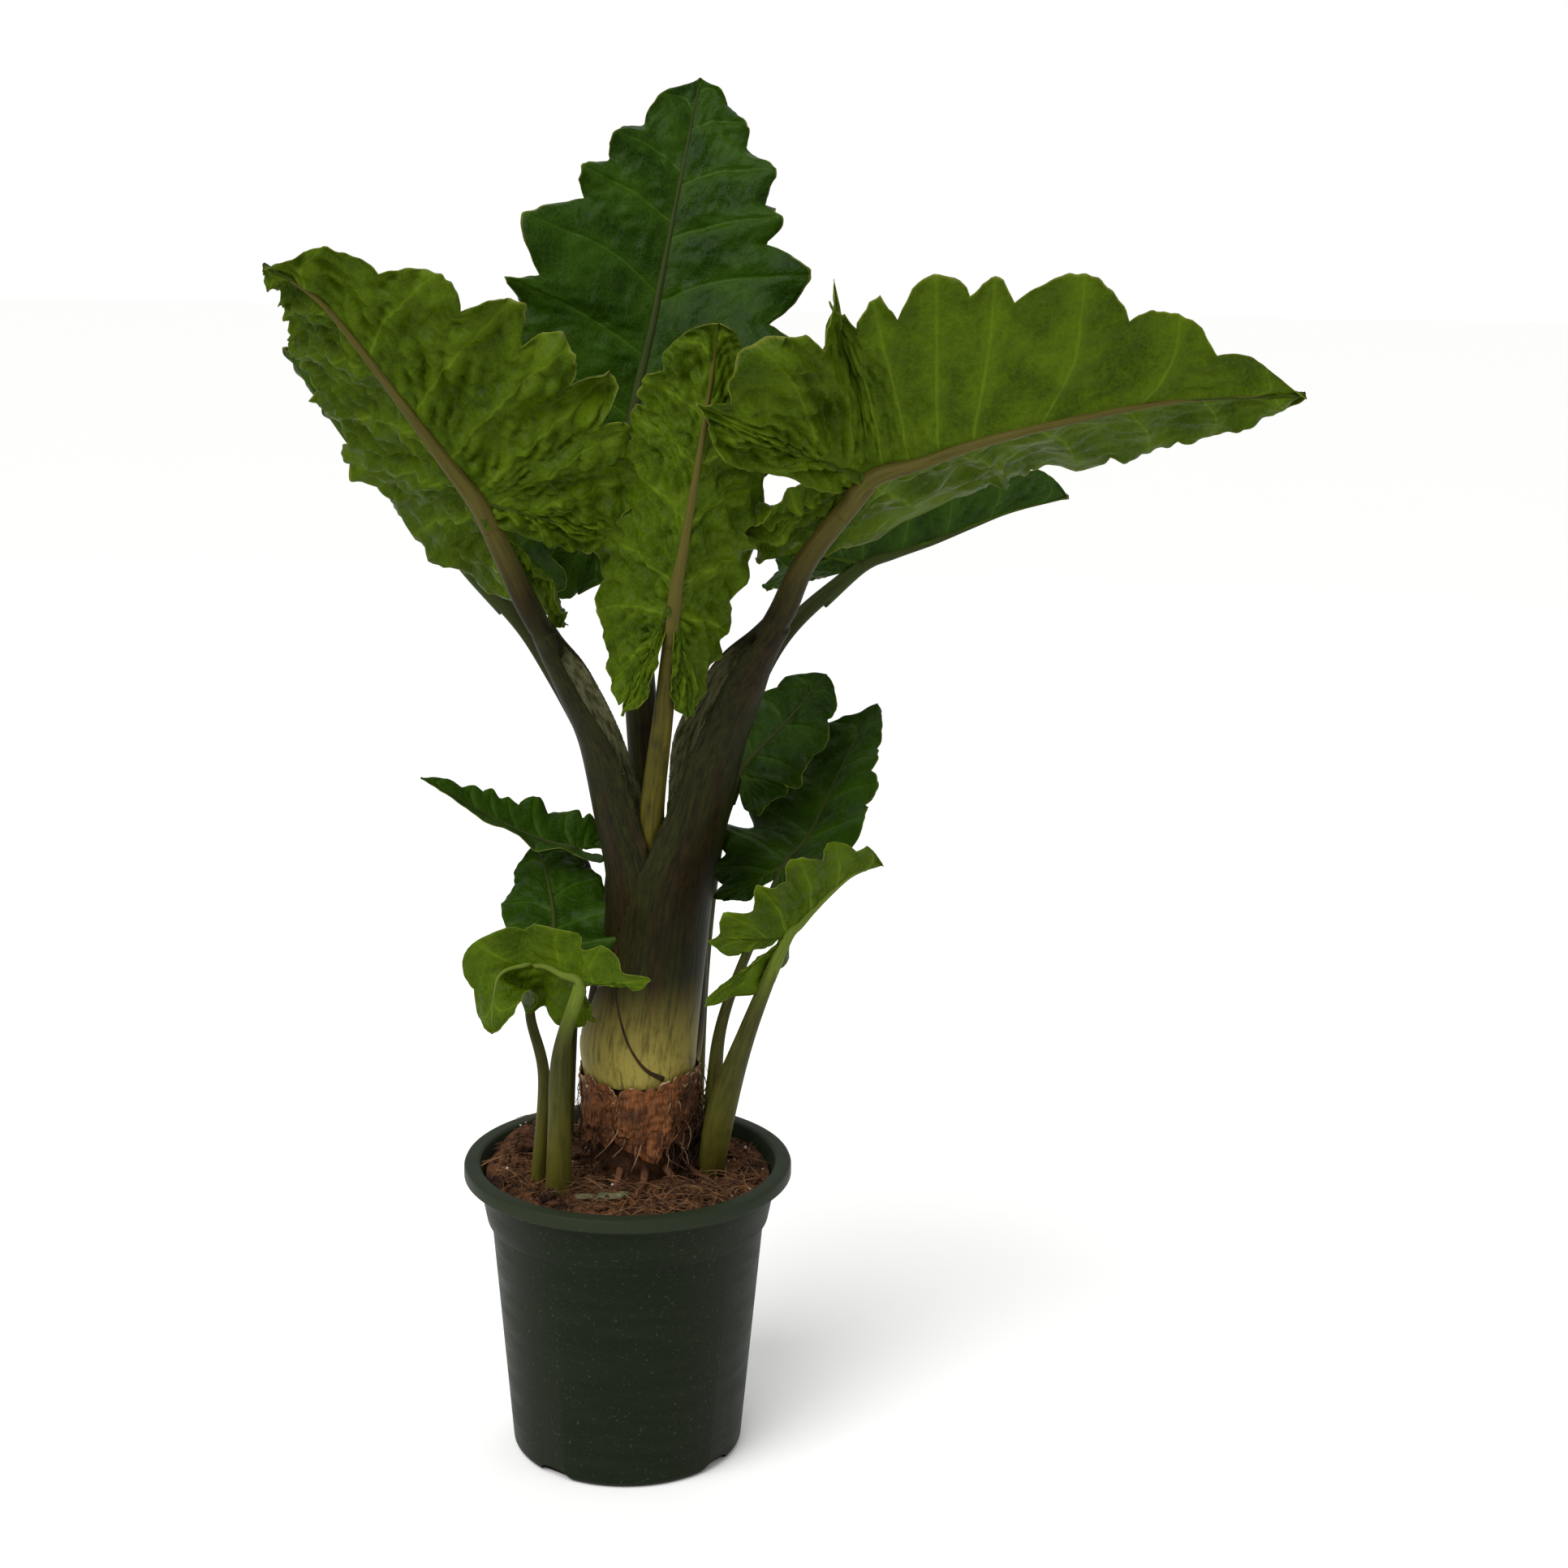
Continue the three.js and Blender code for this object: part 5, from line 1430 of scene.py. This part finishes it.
class ALOCASIA_OT_litter(bpy.types.Operator):
    """Model the dry flakes and chips of bark lying on the mix"""

    bl_idname = "alocasia.litter"
    bl_label = "Litter"

    def execute(self, context):
        dry = rough_material("dry_leaf_scrap", linear("#33331f"), linear("#6a6b4c"), 0.003, depth=0.0006)
        chip = rough_material("bark_chip", linear("#1c1009"), linear("#553822"), 0.004, (1, 2.5, 1))
        for i, bit in enumerate(LITTER):
            thin = bit[4] < THIN_FLAKE
            finish(flake(f"scrap_{i + 1}", bit, 30 + i), "litter", [dry if thin else chip], f"litter_{i + 1}")
        return {"FINISHED"}


class ALOCASIA_OT_pot(bpy.types.Operator):
    """Model the moulded grower's pot"""

    bl_idname = "alocasia.pot"
    bl_label = "Grower's Pot"

    def execute(self, context):
        look = context.scene.alocasia_pot
        piece = pot_body(look)
        finish(piece, "pot", [plastic_material("moulded_polypropylene", look)], "grower_pot")
        bpy.ops.object.shade_smooth_by_angle(angle=math.radians(26))
        return {"FINISHED"}


class ALOCASIA_OT_stage(bpy.types.Operator):
    """Set up the floor, the soft studio light and the camera"""

    bl_idname = "alocasia.stage"
    bl_label = "Stage"

    def execute(self, context):
        look = context.scene.alocasia_stage
        floor = added(bpy.ops.mesh.primitive_plane_add, size=40)
        floor.name = "floor"
        floor.data.materials.append(floor_material("pale_floor", look.floor))
        for name, (setting, share, size, place) in LAMPS.items():
            lamp = bpy.data.lights.new(name, "AREA")
            lamp.energy, lamp.size = getattr(look, setting) * share, size
            self.add_light(context, lamp, Vector(LAMPS_AIM) - Vector(place), place)
        sun = bpy.data.lights.new("skylight", "SUN")
        sun.energy, sun.angle = look.skylight, math.radians(SKYLIGHT_WIDTH)
        self.add_light(context, sun, Vector(SKYLIGHT_WAY))
        # A white room to look at, which lights the plant less than it shows.
        world = bpy.data.worlds.new("room")
        world.use_nodes = True
        nodes = Nodes(world.node_tree)
        seen = nodes.put("Background", {0: (1, 1, 1, 1), 1: 1.0})
        lit = nodes.put("Background", {0: (1, 1, 1, 1), 1: look.sky})
        looked_at = nodes.put("LightPath", output="Is Camera Ray")
        nodes.put("OutputWorld", {0: nodes.put("MixShader", {0: looked_at, 1: lit, 2: seen})})
        context.scene.world = world
        context.scene.view_settings.view_transform = "Standard"
        self.add_camera(context)
        return {"FINISHED"}

    def add_light(self, context, lamp, way, place=(0, 0, 0)):
        """Hangs a lamp at a place, shining one way."""
        light = bpy.data.objects.new(lamp.name, lamp)
        light.location = place
        light.rotation_euler = way.to_track_quat("-Z", "Y").to_euler()
        context.collection.objects.link(light)

    def add_camera(self, context):
        """A camera a little above the leaves, looking down at the pot and turned by under a degree."""
        pitch, roll = math.radians(CAMERA["pitch"]), math.radians(CAMERA["roll"])
        forward = Vector((0, math.cos(pitch), -math.sin(pitch)))
        level, rise = Vector((1, 0, 0)), Vector((0, math.sin(pitch), math.cos(pitch)))
        right = math.cos(roll) * level + math.sin(roll) * rise
        up = -math.sin(roll) * level + math.cos(roll) * rise
        lens = bpy.data.cameras.new("camera")
        lens.lens, lens.sensor_width = CAMERA["lens"], CAMERA["sensor"]
        camera = bpy.data.objects.new("camera", lens)
        turn = Matrix((right, up, -forward)).transposed().to_4x4()
        camera.matrix_world = Matrix.Translation(CAMERA["place"]) @ turn
        context.collection.objects.link(camera)
        context.scene.camera = camera


SETTINGS = {
    "alocasia_leaf": LeafSettings,
    "alocasia_stalk": StalkSettings,
    "alocasia_corm": CormSettings,
    "alocasia_mix": MixSettings,
    "alocasia_pot": PotSettings,
    "alocasia_stage": StageSettings,
}
OPERATORS = (
    ALOCASIA_OT_stage,
    ALOCASIA_OT_pot,
    ALOCASIA_OT_mix,
    ALOCASIA_OT_litter,
    ALOCASIA_OT_corm,
    ALOCASIA_OT_stalks,
    ALOCASIA_OT_sheaths,
    ALOCASIA_OT_big_leaves,
    ALOCASIA_OT_small_leaves,
)


class ALOCASIA_PT_panel(bpy.types.Panel):
    """Settings and steps of the potted alocasia"""

    bl_idname = "ALOCASIA_PT_panel"
    bl_label = "Alocasia"
    bl_space_type = "VIEW_3D"
    bl_region_type = "UI"
    bl_category = "Alocasia"

    def draw(self, context):
        for key, group in SETTINGS.items():
            box = self.layout.box()
            box.label(text=key.replace("_", " ").title())
            for setting in group.__annotations__:
                box.prop(getattr(context.scene, key), setting)
        for operator in OPERATORS:
            self.layout.operator(operator.bl_idname)


CLASSES = (*SETTINGS.values(), *OPERATORS, ALOCASIA_PT_panel)


def register():
    for one in CLASSES:
        bpy.utils.register_class(one)
    for key, group in SETTINGS.items():
        setattr(bpy.types.Scene, key, bpy.props.PointerProperty(type=group))


def unregister():
    for key in SETTINGS:
        delattr(bpy.types.Scene, key)
    for one in reversed(CLASSES):
        bpy.utils.unregister_class(one)


def main():
    register()
    for operator in OPERATORS:
        getattr(bpy.ops.alocasia, operator.bl_idname.split(".")[1])()


if __name__ == "__main__":
    main()
